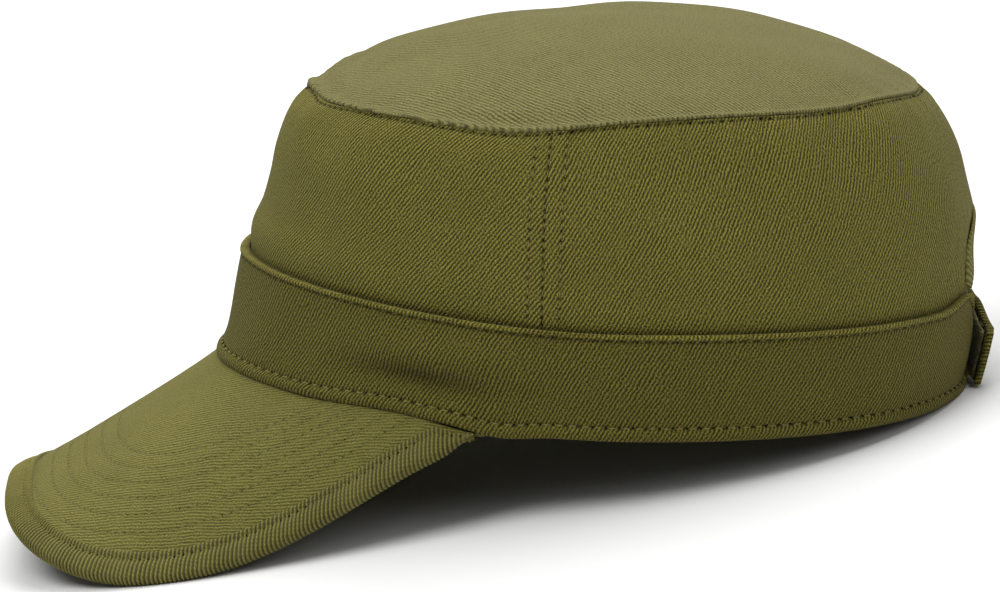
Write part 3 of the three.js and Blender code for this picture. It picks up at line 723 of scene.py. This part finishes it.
def side_rear():
    start, stop = SIDE_SEAM_AT + SEAM_AIR, 2 * REAR_MIDDLE - SIDE_SEAM_AT - SEAM_AIR
    arch = float(around(rear_angle(ARCH_HALF_WIDTH)))
    row = SEAM_ROWS["back"]
    near = (start, start + row, arch, 2 * REAR_MIDDLE - arch, stop - row, stop)
    stations = spaced(start, stop, 0.95, near=near)
    bottom = rear_low(side_base(ARCH_FOOT, stations)[:, 0])
    side_panel("side_rear_cloth", "side_rear", stations, bottom, RIB_SLOPE["rear"])


def seam_threads():
    """Stitches of the crown seam and of the two side seams."""
    skin = Skin()
    marks = np.arange(-REAR_MIDDLE, REAR_MIDDLE, 0.4)
    up = np.full_like(marks, SEAM_STITCH_UP)
    out = facing(side_base, up, marks)
    stitch_row(skin, marks, side_face(up, marks), out, SEAM_STITCH, lift=-0.2, hole=0.6)
    up = np.arange(BAND_HEIGHT + 1, SEAM_STITCH_UP - 1, 0.4)
    for side in (1, -1):
        for row in SEAM_ROWS.values():
            at = np.full_like(up, side * (SIDE_SEAM_AT + row))
            stitch_row(skin, up, side_face(up, at), facing(side_base, up, at), thread=FINE_THREAD)
    skin.make("panel_stitches", "twill_side", material=THREADS)


# Band
BAND_END_AT = float(around(rear_angle(BAND_END_X)))  # distance round the wall


def band_relief(up, at, height):
    """How far the band's face stands out, for a distance above its bottom edge."""
    out = 0.3 * waves(pair(up, at), 30, 31) * smoothstep(up, 3, 8)
    out = out + 1.0 * np.clip(1 - ((up - 1.6) / 1.8) ** 2, 0, 1) ** 0.5
    out = out + 0.5 * smoothstep(up, height - TOP_STITCH, height - 0.6)
    out = out - bell(up - HEM_STITCH, 0.6) * (0.25 + 0.3 * pits(at, BAND_STITCH))
    out = out - bell(up - (height - TOP_STITCH), 0.5) * (0.2 + 0.15 * pits(at, BAND_STITCH))
    # pressed in beside the peak, and standing out above that
    fold = 1.5 * bell(up - 18.5, 4.5) - 1.7 * bell(up - 10.5, 3.5)
    return out + fold * bell(np.degrees(angle_at(np.abs(at))) - 52, 13)


def band_painted_light(up, at, height):
    """Painted shade in needle holes, along the stitch rows and in the hollow beside the peak; below 0,
    painted highlight on the rolled hem and the folded top edge.
    """
    holes = pits(at, BAND_STITCH)
    # painted shade along the hem's stitch row, painted highlight on the rolled hem below it
    dark = 0.9 * bell(up - HEM_STITCH, 0.4) * (0.15 + 0.85 * holes) - 0.25 * bell(up - 1.4, 1.2)
    dark = np.maximum(dark, 0.85 * bell(up - (height - TOP_STITCH), 0.4) * (0.6 + 0.4 * holes))
    # painted shade in the hollow beside the peak, painted highlight on the folded top edge
    fold = bell(up - 11.5, 3) * bell(np.degrees(angle_at(np.abs(at))) - 49, 11)
    return dark + 0.5 * fold - 0.5 * smoothstep(up, height - 0.9, height - 0.5)


def band_shape(at):
    """Bottom and top of the band, which rises towards its ends and has rounded corners."""
    x = np.where(np.abs(at) > REAR_MIDDLE / 2, np.abs(side_base(ARCH_FOOT, at)[:, 0]), 1e3)
    from_end = np.clip(x - BAND_END_X, 0, BAND_CORNER)
    cut = BAND_CORNER - np.sqrt(BAND_CORNER**2 - (BAND_CORNER - from_end) ** 2)
    climb = BAND_END_RISE * (1 - smoothstep(x, BAND_END_X + 3, BAND_END_X + 20))
    return cut, BAND_HEIGHT + climb - cut


def band_base(up, at):
    return wall(up, angle_at(at), BAND_FACE)


def band():
    end = BAND_END_AT - 0.1
    at = spaced(-end, end, 0.65, near=(-end, end), fine=0.15, reach=2.5)
    low, high = band_shape(at)
    near = (0, HEM_STITCH / BAND_HEIGHT, 1 - TOP_STITCH / BAND_HEIGHT, 1)
    shares = spaced(0, 1, 0.026, near=near, fine=0.011, reach=0.05)
    above = (high - low) * shares[:, None]
    angle = angle_at(at)
    rows = [(low + above, BAND_FACE + band_relief(above, at, high - low))]
    shade = band_painted_light(above, at, high - low)
    # the hem is rolled under the bottom edge, and the top edge is folded over
    turns = np.linspace(-1, 0, 5, endpoint=False)[:, None]
    bulge = np.sqrt(1 - turns**2)
    rows.insert(0, (low + 0.9 * turns**2 - 0.3 * bulge**2, GAP + (BAND_WALL + 0.2) * bulge))
    turns = np.linspace(0.25, 1, 4)[:, None]
    rounded = np.sqrt(1 - turns**2)
    rows.append((high + 0.1 + 0.35 * np.sin(turns * math.pi), GAP + (BAND_WALL + 0.45) * rounded))
    outer = np.concatenate([wall(up, angle, out) for up, out in rows])
    up = np.concatenate([np.broadcast_to(up, (len(up), len(at))) for up, _ in rows])
    # painted highlight on the hem rolled under (-0.1) and, stronger, on the folded top edge (-0.5)
    shade = np.concatenate([np.full((5, len(at)), -0.1), shade, np.full((4, len(at)), -0.5)])
    inner = wall(low + (high - low) * np.linspace(0.06, 0.98, 8)[:, None], angle, GAP)
    skin = sheet(outer, ribbed(at, up, RIB_SLOPE["band"]), inner, shade)
    skin.make("band_cloth", "twill_band", "band")


def band_threads():
    """Stitches of the hem and below the band's top edge."""
    skin = Skin()
    end = BAND_END_AT - 3
    at = np.arange(-end, end, 0.4)
    low, high = band_shape(at)
    for above, hole in ((np.full_like(at, HEM_STITCH), 0.62), (high - low - TOP_STITCH, 0.3)):
        out = BAND_FACE + band_relief(above, at, high - low)
        path = wall(low + above, angle_at(at), out)
        normals = facing(band_base, low + above, at)
        stitch_row(skin, at, path, normals, BAND_STITCH, lift=-0.12, hole=hole)
    skin.make("band_stitches", "twill_band", material=THREADS)


# Peak
def outside_hem(x, y):
    """How far points of the plan lie outside the band's hem."""
    hem = wall(0.0, np.arctan2(x, -y), BAND_FACE)
    return np.hypot(x, y) - np.hypot(hem[..., 0], hem[..., 1])


def peak_height(x, y):
    forward = -y - (WALL["to_front"][0] + BAND_WALL)
    arch = (PEAK_ARCH + PEAK_ARCH_GROWTH * forward) * x * x + PEAK_SIDES * x**4
    return PEAK_START - PEAK_SLOPE * forward + PEAK_LEVELLING * forward * forward - arch


def peak_top(x, y):
    """Points of the peak's upper face, settled against the underside of the hem near the root."""
    angle = np.arctan2(x, -y)
    hem = wall(0.0, angle, BAND_FACE)
    away = outside_hem(x, y)
    settle = np.clip(1 - away / PEAK_BLEND, 0, 1) ** 2
    from_end = np.degrees(PEAK_HALF_ANGLE - np.abs(angle))
    near_end = 1 - smoothstep(from_end, 5, 12)
    under_hem = hem[..., 2] - GAP - near_end * 0.5
    height = peak_height(x, y) + (under_hem - peak_height(hem[..., 0], hem[..., 1])) * settle
    return np.stack([x, y, np.where(away < 0, np.minimum(height, under_hem), height)], -1)


def peak_normal(x, y, reach=3.0):
    along_x = peak_top(x + reach, y) - peak_top(x - reach, y)
    along_y = peak_top(x, y + reach) - peak_top(x, y - reach)
    return unit(np.cross(along_x, along_y))


def peak_flat(points):
    """Place in the flat cloth of points of the peak, unrolled from its arch."""
    fall = 0.55  # of the peak's middle line
    x = np.linspace(0, 90, 901)
    lean = 2 * (PEAK_ARCH + 30 * PEAK_ARCH_GROWTH) * x + 4 * PEAK_SIDES * x**3
    arc = lengths(np.stack([x, np.cumsum(lean * 0.1) / math.hypot(1, fall)], -1))
    across = np.sign(points[..., 0]) * np.interp(np.abs(points[..., 0]), x, arc)
    back = (points[..., 1] + fall * points[..., 2]) / math.hypot(1, fall)
    return ribbed(across, back, RIB_SLOPE["peak"])


def evenly(curve, count):
    """Points evenly along a curve."""
    place = lengths(curve)
    want = np.linspace(0, place[-1], count)
    return np.stack([np.interp(want, place, column) for column in curve.T], -1)


def oval_line(half_width, reach):
    """The peak's rim, or a row of stitches of the same kind, from right to left in the plan."""
    side = np.linspace(-1, 1, 2001)
    turn = np.sign(side) * np.abs(side) ** 1.5 * math.pi / 2
    bow = 2 / PEAK_RIM["power"]
    x = half_width * np.sign(side) * np.abs(np.sin(turn)) ** bow
    return np.stack([x, PEAK_RIM["centre"] - reach * np.abs(np.cos(turn)) ** bow], -1)


def peak_stations(count):
    """Along the rim: its points, the way in across the peak (one millimetre along its face, in the
    plan), the root's points, how much of the binding's width fits, and the peak's thickness."""
    half_width, end = PEAK_RIM["half_width"], PEAK_RIM["end"]
    rim = oval_line(half_width, PEAK_RIM["reach"])
    rim = evenly(np.concatenate([[(-half_width, end)], rim, [(half_width, end)]]), count)
    side = np.linspace(-1, 1, 400)
    tuck = PEAK_ROOT_TUCK + (PEAK_END_TUCK - PEAK_ROOT_TUCK) * np.abs(side) ** 6
    root = evenly(wall(0.0, side * PEAK_HALF_ANGLE, BAND_FACE - tuck)[:, :2], count)
    ahead = np.gradient(rim, axis=0)
    inward = unit(np.stack([-ahead[:, 1], ahead[:, 0]], -1))
    inner = rim + inward * BINDING_WIDTH / 2
    rise = peak_top(*inner.T)[:, 2] - peak_top(*rim.T)[:, 2]
    steep = np.hypot(1, 2 * rise / BINDING_WIDTH)
    fit = np.clip((outside_hem(*rim.T) * steep - 0.8) / BINDING_WIDTH, 0.12, 1)
    return rim, inward / steep[:, None], root, fit, PEAK_END_WALL + (PEAK_WALL - PEAK_END_WALL) * fit


# Six rows of stitches on the peak, from the rim inwards
PEAK_ROWS = [{"half_width": 66.3 - 2.8 * k, "reach": 118.5 - 4.6 * k} for k in range(6)]


def row_distance(x, y, row):
    """Rough distance along the face from a row of stitches."""
    power = PEAK_RIM["power"]
    u = np.abs(x) / row["half_width"]
    v = np.clip(PEAK_RIM["centre"] - y, 0, None) / row["reach"]
    level = (u**power + v**power) ** (1 / power)
    steep = np.hypot(u ** (power - 1) / row["half_width"], v ** (power - 1) / row["reach"])
    return (1 - level) * level ** (power - 1) / np.maximum(steep, 1e-6)


def peak_relief(x, y):
    """Unevenness of the peak's faces, with a fine groove along each row of stitches."""
    out = 0.12 * waves(pair(x, y), 26, 41)
    lean = np.maximum(np.abs(peak_normal(x, y)[..., 2]), 0.35)
    for row in PEAK_ROWS:
        out = out - 0.08 * bell(row_distance(x, y, row) / lean, 0.6)
    return out


def peak_faces(x, y, thick=PEAK_WALL):
    """Points of the peak's upper and lower faces, and their outward direction."""
    normal = peak_normal(x, y)
    relief = peak_relief(x, y)[..., None]
    top = peak_top(x, y)
    return top + normal * relief, top - normal * (np.asarray(thick)[..., None] + relief), normal


def peak():
    rim, inward, root, fit, thick = peak_stations(560)
    lines = [rim + inward * (d * fit)[:, None] for d in (0.0, 0.6, 3.0, 5.5)]
    start = rim + inward * (BINDING_WIDTH * fit)[:, None]
    shares = spaced(0, 1, 0.014, near=(0.0, 0.35), fine=0.009, reach=0.2)
    lines += [start + (root - start) * share for share in shares]
    x, y = np.moveaxis(np.stack(lines), -1, 0)
    upper, lower, _ = peak_faces(x, y, thick)
    # painted shade along each row of stitches
    shade = 0.2 * sum(bell(row_distance(x, y, row), 0.3) for row in PEAK_ROWS)
    sheet(upper, peak_flat(upper), lower[::2], shade).make("peak_cloth", "twill_peak", "peak")


def peak_threads():
    """The rows of stitches through the peak, seen on both faces."""
    skin = Skin()
    for row in PEAK_ROWS:
        line = evenly(oval_line(row["half_width"], row["reach"]), 700)
        line = line[outside_hem(*line.T) > 0.5]
        upper, lower, normal = peak_faces(*line.T)
        marks = lengths(upper)
        for face, out in ((upper, normal), (lower, -normal)):
            stitch_row(skin, marks, face, out, lift=0.0, thread=FINE_THREAD, hole=0.24)
    skin.make("peak_stitches", "twill_peak", material=THREADS)


# Binding of the peak's rim
BINDING_STITCH = 5.2  # row of stitches, from the rim
FOLD_TURNS = np.radians(np.arange(-75, 76, 15))  # round the fold of a binding


def binding_rib(run):
    """1 on the ribs of a binding and 0 between them, along its run."""
    return 0.5 + 0.5 * np.cos(run / BINDING_RIB * 2 * math.pi)


def binding_lift(distance, ridge=0.0, under=0.0):
    """How far the binding's face lies off the peak's, at a distance in from the rim."""
    edge = np.clip((BINDING_WIDTH - distance) / 0.9, 0, 1)
    roll = smoothstep(-distance, -BINDING_STITCH, -2.5)
    full = 0.05 + (0.6 + ridge) * np.sqrt(edge * (2 - edge)) + (0.6 + under) * roll
    return full - 0.35 * bell(distance - BINDING_STITCH, 0.6)


def binding_sections(count):
    """Along the binding: rim, way in, share of the width, peak's thickness, length run, and how
    full the roll is, which thins out towards its ends, where it slips under the band."""
    rim, inward, _, fit, thick = (line[count // 300 : -count // 300] for line in peak_stations(count))
    run = lengths(peak_top(*rim.T))
    full = 0.12 + 0.88 * smoothstep(np.minimum(run, run[-1] - run), 0, 11)
    return rim, inward, fit, thick, run, full


def binding_line(rim, inward, fit, distance, depth):
    """Points at a distance in from the rim and a depth below the upper face."""
    plan = rim + inward * np.where(distance > 0, distance * fit, distance)[:, None]
    x, y = plan.T
    return peak_top(x, y) - peak_normal(x, y) * np.asarray(depth)[..., None]


def peak_binding():
    rim, inward, fit, thick, run, full = binding_sections(1340)
    across = run + 0.15 * waves(pair(run, 0), 20, 51)
    rib = binding_rib(across)
    ridge = 0.36 * rib - 0.2
    inwards = spaced(0.6, BINDING_WIDTH, 0.6, near=(BINDING_WIDTH,), fine=0.2, reach=0.8)

    def lines(rows):
        return np.stack(
            [binding_line(rim, inward, fit, np.broadcast_to(d, run.shape), depth) for d, depth in rows]
        )

    # the roll hangs a little below the peak's edge
    rows = [(d, thick + full * binding_lift(d, ridge, under=0.6)) for d in inwards[::-1]]
    for turn in FOLD_TURNS:
        reach = full * (2.0 + ridge)
        half = thick / 2 + full * (1.55 + ridge)
        rows.append((0.6 - reach * math.cos(turn), thick / 2 + 0.3 * full - half * math.sin(turn)))
    rows += [(d, -full * binding_lift(d, ridge)) for d in inwards]
    outer = lines(rows)
    cloth = pair(across, lengths(outer[:, len(run) // 2])[:, None])
    inner = [(d, thick + 0.01) for d in (BINDING_WIDTH, 4.0, 0.5)] + [(-0.5 * full, thick / 2)]
    inner = lines(inner + [(d, 0 * thick - 0.01) for d in (0.5, 4.0, BINDING_WIDTH)])
    # painted shade between the ribs, uneven along the rim, darkest on the underside and less towards the
    # top
    depth = np.clip(0.5 + 0.16 * waves(pair(run, 0), 16, 52), 0.2, 0.8)
    underside_painted_shade = np.linspace(1.15, 0.8, len(rows))[:, None]
    skin = sheet(outer, cloth, inner, depth * underside_painted_shade * (1 - rib))
    skin.make("peak_binding_cloth", "twill_binding", "peak_binding")


def binding_threads():
    """The row of stitches through the binding, seen on both faces."""
    skin = Skin()
    rim, inward, fit, thick, run, full = binding_sections(1000)
    where = np.full_like(run, BINDING_STITCH)
    flat = binding_line(rim, inward, fit, where, 0 * run)
    x, y = flat[:, 0], flat[:, 1]
    normal = peak_normal(x, y)
    lift = (full * binding_lift(where))[:, None]
    lower = flat - normal * (thick[:, None] + lift)
    for face, out in ((flat + normal * lift, normal), (lower, -normal)):
        stitch_row(skin, run, face, out, lift=-0.05, thread=FINE_THREAD, hole=0.46)
    skin.make("binding_stitches", "twill_binding", material=THREADS)


# Binding of the rear arch
def arch_line(count):
    """The arch's edge (distance from the middle, section) from left to right, and the way out of it."""
    share = np.linspace(0, math.pi, 4000)
    x = ARCH_HALF_WIDTH * np.sign(np.cos(share)) * np.abs(np.cos(share)) ** (2 / ARCH_POWER)
    up = ARCH_FOOT + ARCH_RISE * np.sin(share) ** (2 / ARCH_POWER)
    line = evenly(np.stack([x, up], -1)[up > BAND_HEIGHT + BAND_END_RISE + GAP], count)
    ahead = np.gradient(line, axis=0)
    return line, unit(np.stack([ahead[:, 1], -ahead[:, 0]], -1))


def arch_points(line, away, distance, out):
    place = line + away * distance
    up = np.maximum(place[:, 1], BAND_HEIGHT + BAND_END_RISE)
    return wall(up, rear_angle(place[:, 0]), out)


def arch_binding():
    line, away = arch_line(420)
    run = lengths(arch_points(line, away, 0, 0))
    rib = binding_rib(run)
    ridge = 0.1 * rib - 0.05
    inside = -PANEL_WALL - ARCH_GAP
    rows = [(d, inside - 0.75 * min(1, (4.6 - d) / 0.7) ** 0.5) for d in (4.6, 4.4, 4, 3, 2, 1)]
    for turn in FOLD_TURNS:
        out = (PANEL_WALL / 2 + ARCH_GAP + 0.35) * math.sin(turn) - PANEL_WALL / 2
        rows.append((0.6 - 2.1 * math.cos(turn), out))
    for d in (1, 2, 3, 3.6, 4.2, 4.8, 5.3, 5.6, 5.8, 5.95, 6.0):
        edge = min(1, (ARCH_BINDING_WIDTH - d) / 1.6)
        sunk = 0.15 * math.exp(-(((d - 4.2) / 0.5) ** 2))
        rows.append((d, 0.1 + (ARCH_GAP + 0.25) * math.sqrt(edge * (2 - edge)) - sunk))
    outer = np.stack([arch_points(line, away, d, out + ridge) for d, out in rows])
    cloth = pair(run, lengths(outer[:, len(run) // 2])[:, None])
    inner = [(4.5, inside), (0.5, inside), (-0.6, -PANEL_WALL / 2), (0.5, 0.35), (3, 0.3), (5.95, 0.08)]
    inner = np.stack([arch_points(line, away, d, out) for d, out in inner])
    # painted shade between the ribs
    skin = sheet(outer, cloth, inner, 0.2 * (1 - rib))
    skin.make("arch_binding_cloth", "twill_binding", "arch_binding")


# Closure
def closure_y(x, height):
    """Between the band's ends the tab and the strap run flatter than the wall."""
    up = height + 1.2
    held = np.maximum(np.abs(x), BAND_END_X)
    line = wall(up, rear_angle(held, up))[..., 1]
    return line + CLOSURE_BULGE * (1 - (np.minimum(np.abs(x), BAND_END_X) / BAND_END_X) ** 2)


TAB_LIFT = -STRAP_WALL
LOOP_LIFT = GAP
HOOK_LIFT = LOOP_LIFT + PAD_WALL + GAP
STRAP_LIFT = HOOK_LIFT + PAD_WALL + GAP
FLARE = {"low": 3.2, "high": 6.2}  # how far the strap's free end stands away, at its two corners


def strap_lift(x, height):
    """Inner face of the strap: under the band at its root, over the tab, then flaring."""
    over = TAB_LIFT + (STRAP_LIFT - TAB_LIFT) * smoothstep(x, -26, -13)
    away = np.clip((x - 10) / (STRAP_END_X - 10), 0, 1)
    share = (height - STRAP_LOW) / (STRAP_HIGH - STRAP_LOW)
    return over + (FLARE["low"] + (FLARE["high"] - FLARE["low"]) * share) * away**1.7


def strip(x, low, high, thick, lift, cut=np.zeros_like, stitched=True):
    """A flat strip across the back with rounded edges, and a groove where a row of stitches runs
    round it."""
    shares = spaced(0, 1, 0.035, near=(0, 1), fine=0.012, reach=0.06)
    top = high - cut(x)
    z = low + (top - low) * shares[:, None]
    xs = np.broadcast_to(x, z.shape)
    edge = np.minimum(np.minimum(z - low, top - z), np.minimum(xs - x[0], x[-1] - xs))
    near = np.clip(edge / 0.9, 0, 1)
    half = thick / 2 * (0.15 + 0.85 * np.sqrt(near * (2 - near)))
    if stitched:
        half = half - STRAP_GROOVE * bell(edge - STRAP_STITCH, 0.5)
    middle = closure_y(xs, z) + lift(xs, z) + thick / 2
    outer = np.stack([xs, middle + half, z], -1)
    inner = np.stack([xs, middle - half, z], -1)
    return sheet(outer, ribbed(xs, z, RIB_SLOPE["strap"]), inner)


def strap_cut(x):
    """The strap's upper edge slopes down to its free end, where its corner is rounded off."""
    corner = STRAP_CORNER * np.clip((x - 29) / (STRAP_END_X - 29), 0, 1) ** 2
    return STRAP_TAPER * smoothstep(x, 15, 30) + corner


def closure_strap():
    x = spaced(-STRAP_ROOT_X, STRAP_END_X, 0.7, near=(STRAP_END_X,), fine=0.2, reach=2)
    skin = strip(x, STRAP_LOW, STRAP_HIGH, STRAP_WALL, strap_lift, strap_cut)
    skin.make("closure_strap_cloth", "twill_band", "closure_strap")


def closure_tab():
    x = spaced(-10, STRAP_ROOT_X, 0.7, near=(-10,), fine=0.2, reach=2)
    skin = strip(x, STRAP_LOW, STRAP_HIGH, STRAP_WALL, lambda x, z: TAB_LIFT)
    skin.make("closure_tab_cloth", "twill_band", "closure_tab")


def pad_strip(x, lift, cut=np.zeros_like):
    low, high = STRAP_LOW + PAD_INSET, STRAP_HIGH - PAD_INSET
    return strip(x, low, high, PAD_WALL, lift, cut, stitched=False)


def hook_lift(x, z):
    return strap_lift(x, z) - STRAP_LIFT + HOOK_LIFT


def closure_pads():
    """The strap's hook tape, with its hooks, and the tab's loop tape."""
    skin = pad_strip(np.arange(-9, STRAP_END_X - 1.9, 0.7), hook_lift, strap_cut)
    rng = np.random.default_rng(61)
    bend = np.linspace(0, 1.25 * math.pi, 6)
    sides = np.linspace(0, 2 * math.pi, 4, endpoint=False)
    for x in np.arange(-8, STRAP_END_X - 2.5, 1.1):
        for z in np.arange(STRAP_LOW + 2.2, STRAP_HIGH - 4.4, 1.1):
            x0, z0 = x + rng.uniform(-0.2, 0.2), z + rng.uniform(-0.2, 0.2)
            root = np.array([x0, float(closure_y(x0, z0) + hook_lift(x0, z0)), z0])
            stem = np.stack([0.3 * (1 - np.cos(bend)), -0.3 * np.sin(bend) - 0.02, 0 * bend], -1)
            rings = []
            for point in root + stem:
                ring = point + 0.1 * np.stack([np.cos(sides), np.sin(sides) * 0.4, np.sin(sides)], -1)
                rings.append(skin.row(ring, (x0, z0)))
            skin.strips(rings, wrap=True)
            for ring in (rings[0], rings[-1]):
                skin.faces.append([int(i) for i in ring])
    skin.make("closure_hook_tape", "hook_tape", "closure_hook_pad")
    skin = pad_strip(np.arange(-8, BAND_END_X - 0.9, 0.7), lambda x, z: LOOP_LIFT)
    skin.make("closure_loop_tape", "loop_tape", "closure_loop_pad")


def closure_threads():
    """Stitches along the strap and across its free end, on both faces."""
    skin = Skin()
    low, end = STRAP_LOW + STRAP_STITCH, STRAP_END_X - STRAP_STITCH
    along = np.arange(-STRAP_ROOT_X + 6, end, 0.4)
    rise = np.arange(low, STRAP_HIGH - STRAP_CORNER - 1.5, 0.4)
    high = STRAP_HIGH - strap_cut(along) - STRAP_STITCH
    rows = [(along, along, np.full_like(along, low)), (along, along, high)]
    rows.append((rise, np.full_like(rise, end), rise))
    for face in (1, -1):
        for marks, x, z in rows:
            inside = closure_y(x, z) + strap_lift(x, z)
            y = inside + STRAP_WALL / 2 + face * (STRAP_WALL / 2 - STRAP_GROOVE)
            path = np.stack([x, y, z], -1)
            normals = np.broadcast_to([0.0, face, 0.0], path.shape)
            stitch_row(skin, marks, path, normals, thread=FINE_THREAD)
    skin.make("closure_stitches", "twill_band", material=THREADS)


# Floor, lights and camera
def floor():
    bpy.ops.mesh.primitive_plane_add(size=6, location=(0, 0, -0.0001))
    plane = bpy.context.object
    plane.name = "floor"
    material, _, shader = new_material("pale_floor")
    shader.inputs["Base Color"].default_value = (0.7, 0.7, 0.7, 1)
    shader.inputs["Roughness"].default_value = 0.7
    plane.data.materials.append(material)


def area_light(name, place, size, power, aim=(0, 0, 0.05)):
    light = bpy.data.lights.new(name, "AREA")
    light.shape = "DISK"
    light.size = size
    light.energy = power
    thing = bpy.data.objects.new(name, light)
    thing.location = place
    thing.rotation_euler = (Vector(aim) - Vector(place)).to_track_quat("-Z", "Y").to_euler()
    bpy.context.scene.collection.objects.link(thing)


def studio():
    world = bpy.data.worlds.new("studio")
    world.use_nodes = True
    background = world.node_tree.nodes["Background"].inputs
    background["Color"].default_value = (1, 1, 1, 1)
    background["Strength"].default_value = 0.2
    bpy.context.scene.world = world
    bpy.context.scene.view_settings.view_transform = "Standard"
    area_light("key", (0.4, -0.6, 1.5), 1.2, 22)
    area_light("top", (-0.5, 0.4, 1.7), 1.5, 29)
    area_light("fill", (0.9, 1.1, 0.8), 1.0, 6)
    area_light("backdrop", (-1.8, 0.2, 1.5), 1.5, 30, aim=(-2.2, 0.2, 0))


# The photograph's camera, for the level cap: height and turn of the view and its roll in degrees,
# distance from VIEW_POINT, focal length in pixels, and where that point's ray meets the picture.
VIEW = {"height": 11.12, "turn": 5.0, "roll": -1.44, "distance": 1200, "focal": 4316.8}
VIEW_POINT = np.array([0, 0, 50.0])
AXIS_AT = (615.06, 186.5)
PICTURE = (1000, 592)


def camera():
    height, turn, roll = (math.radians(VIEW[key]) for key in ("height", "turn", "roll"))
    flat = math.cos(height)
    away = np.array([flat * math.cos(turn), -flat * math.sin(turn), math.sin(height)])
    right = np.array([math.sin(turn), math.cos(turn), 0])
    up = np.cross(away, right)
    right, up = math.cos(roll) * right - math.sin(roll) * up, math.sin(roll) * right + math.cos(roll) * up
    off_x, off_y = PICTURE[0] / 2 - AXIS_AT[0], PICTURE[1] / 2 - AXIS_AT[1]
    aim = off_x * right - off_y * up - VIEW["focal"] * away
    tip = np.array([[1, 0, 0], [0, math.cos(TIP), math.sin(TIP)], [0, -math.sin(TIP), math.cos(TIP)]])
    place = (tip @ (VIEW_POINT + VIEW["distance"] * away) + np.array([0, STAND_BACK, STAND_UP])) * METRE
    back = -(tip @ aim) / np.linalg.norm(aim)
    side = np.cross(tip @ up, back)
    side /= np.linalg.norm(side)
    above = np.cross(back, side)
    lens = bpy.data.cameras.new("camera")
    lens.sensor_width = 36
    lens.lens = lens.sensor_width * VIEW["focal"] / PICTURE[0]
    thing = bpy.data.objects.new("camera", lens)
    thing.matrix_world = Matrix([[side[k], above[k], back[k], place[k]] for k in range(3)] + [[0, 0, 0, 1]])
    bpy.context.scene.collection.objects.link(thing)
    bpy.context.scene.camera = thing


crown_top()
side_front()
side_rear()
seam_threads()
band()
band_threads()
peak()
peak_threads()
peak_binding()
binding_threads()
arch_binding()
closure_strap()
closure_tab()
closure_pads()
closure_threads()
floor()
studio()
camera()
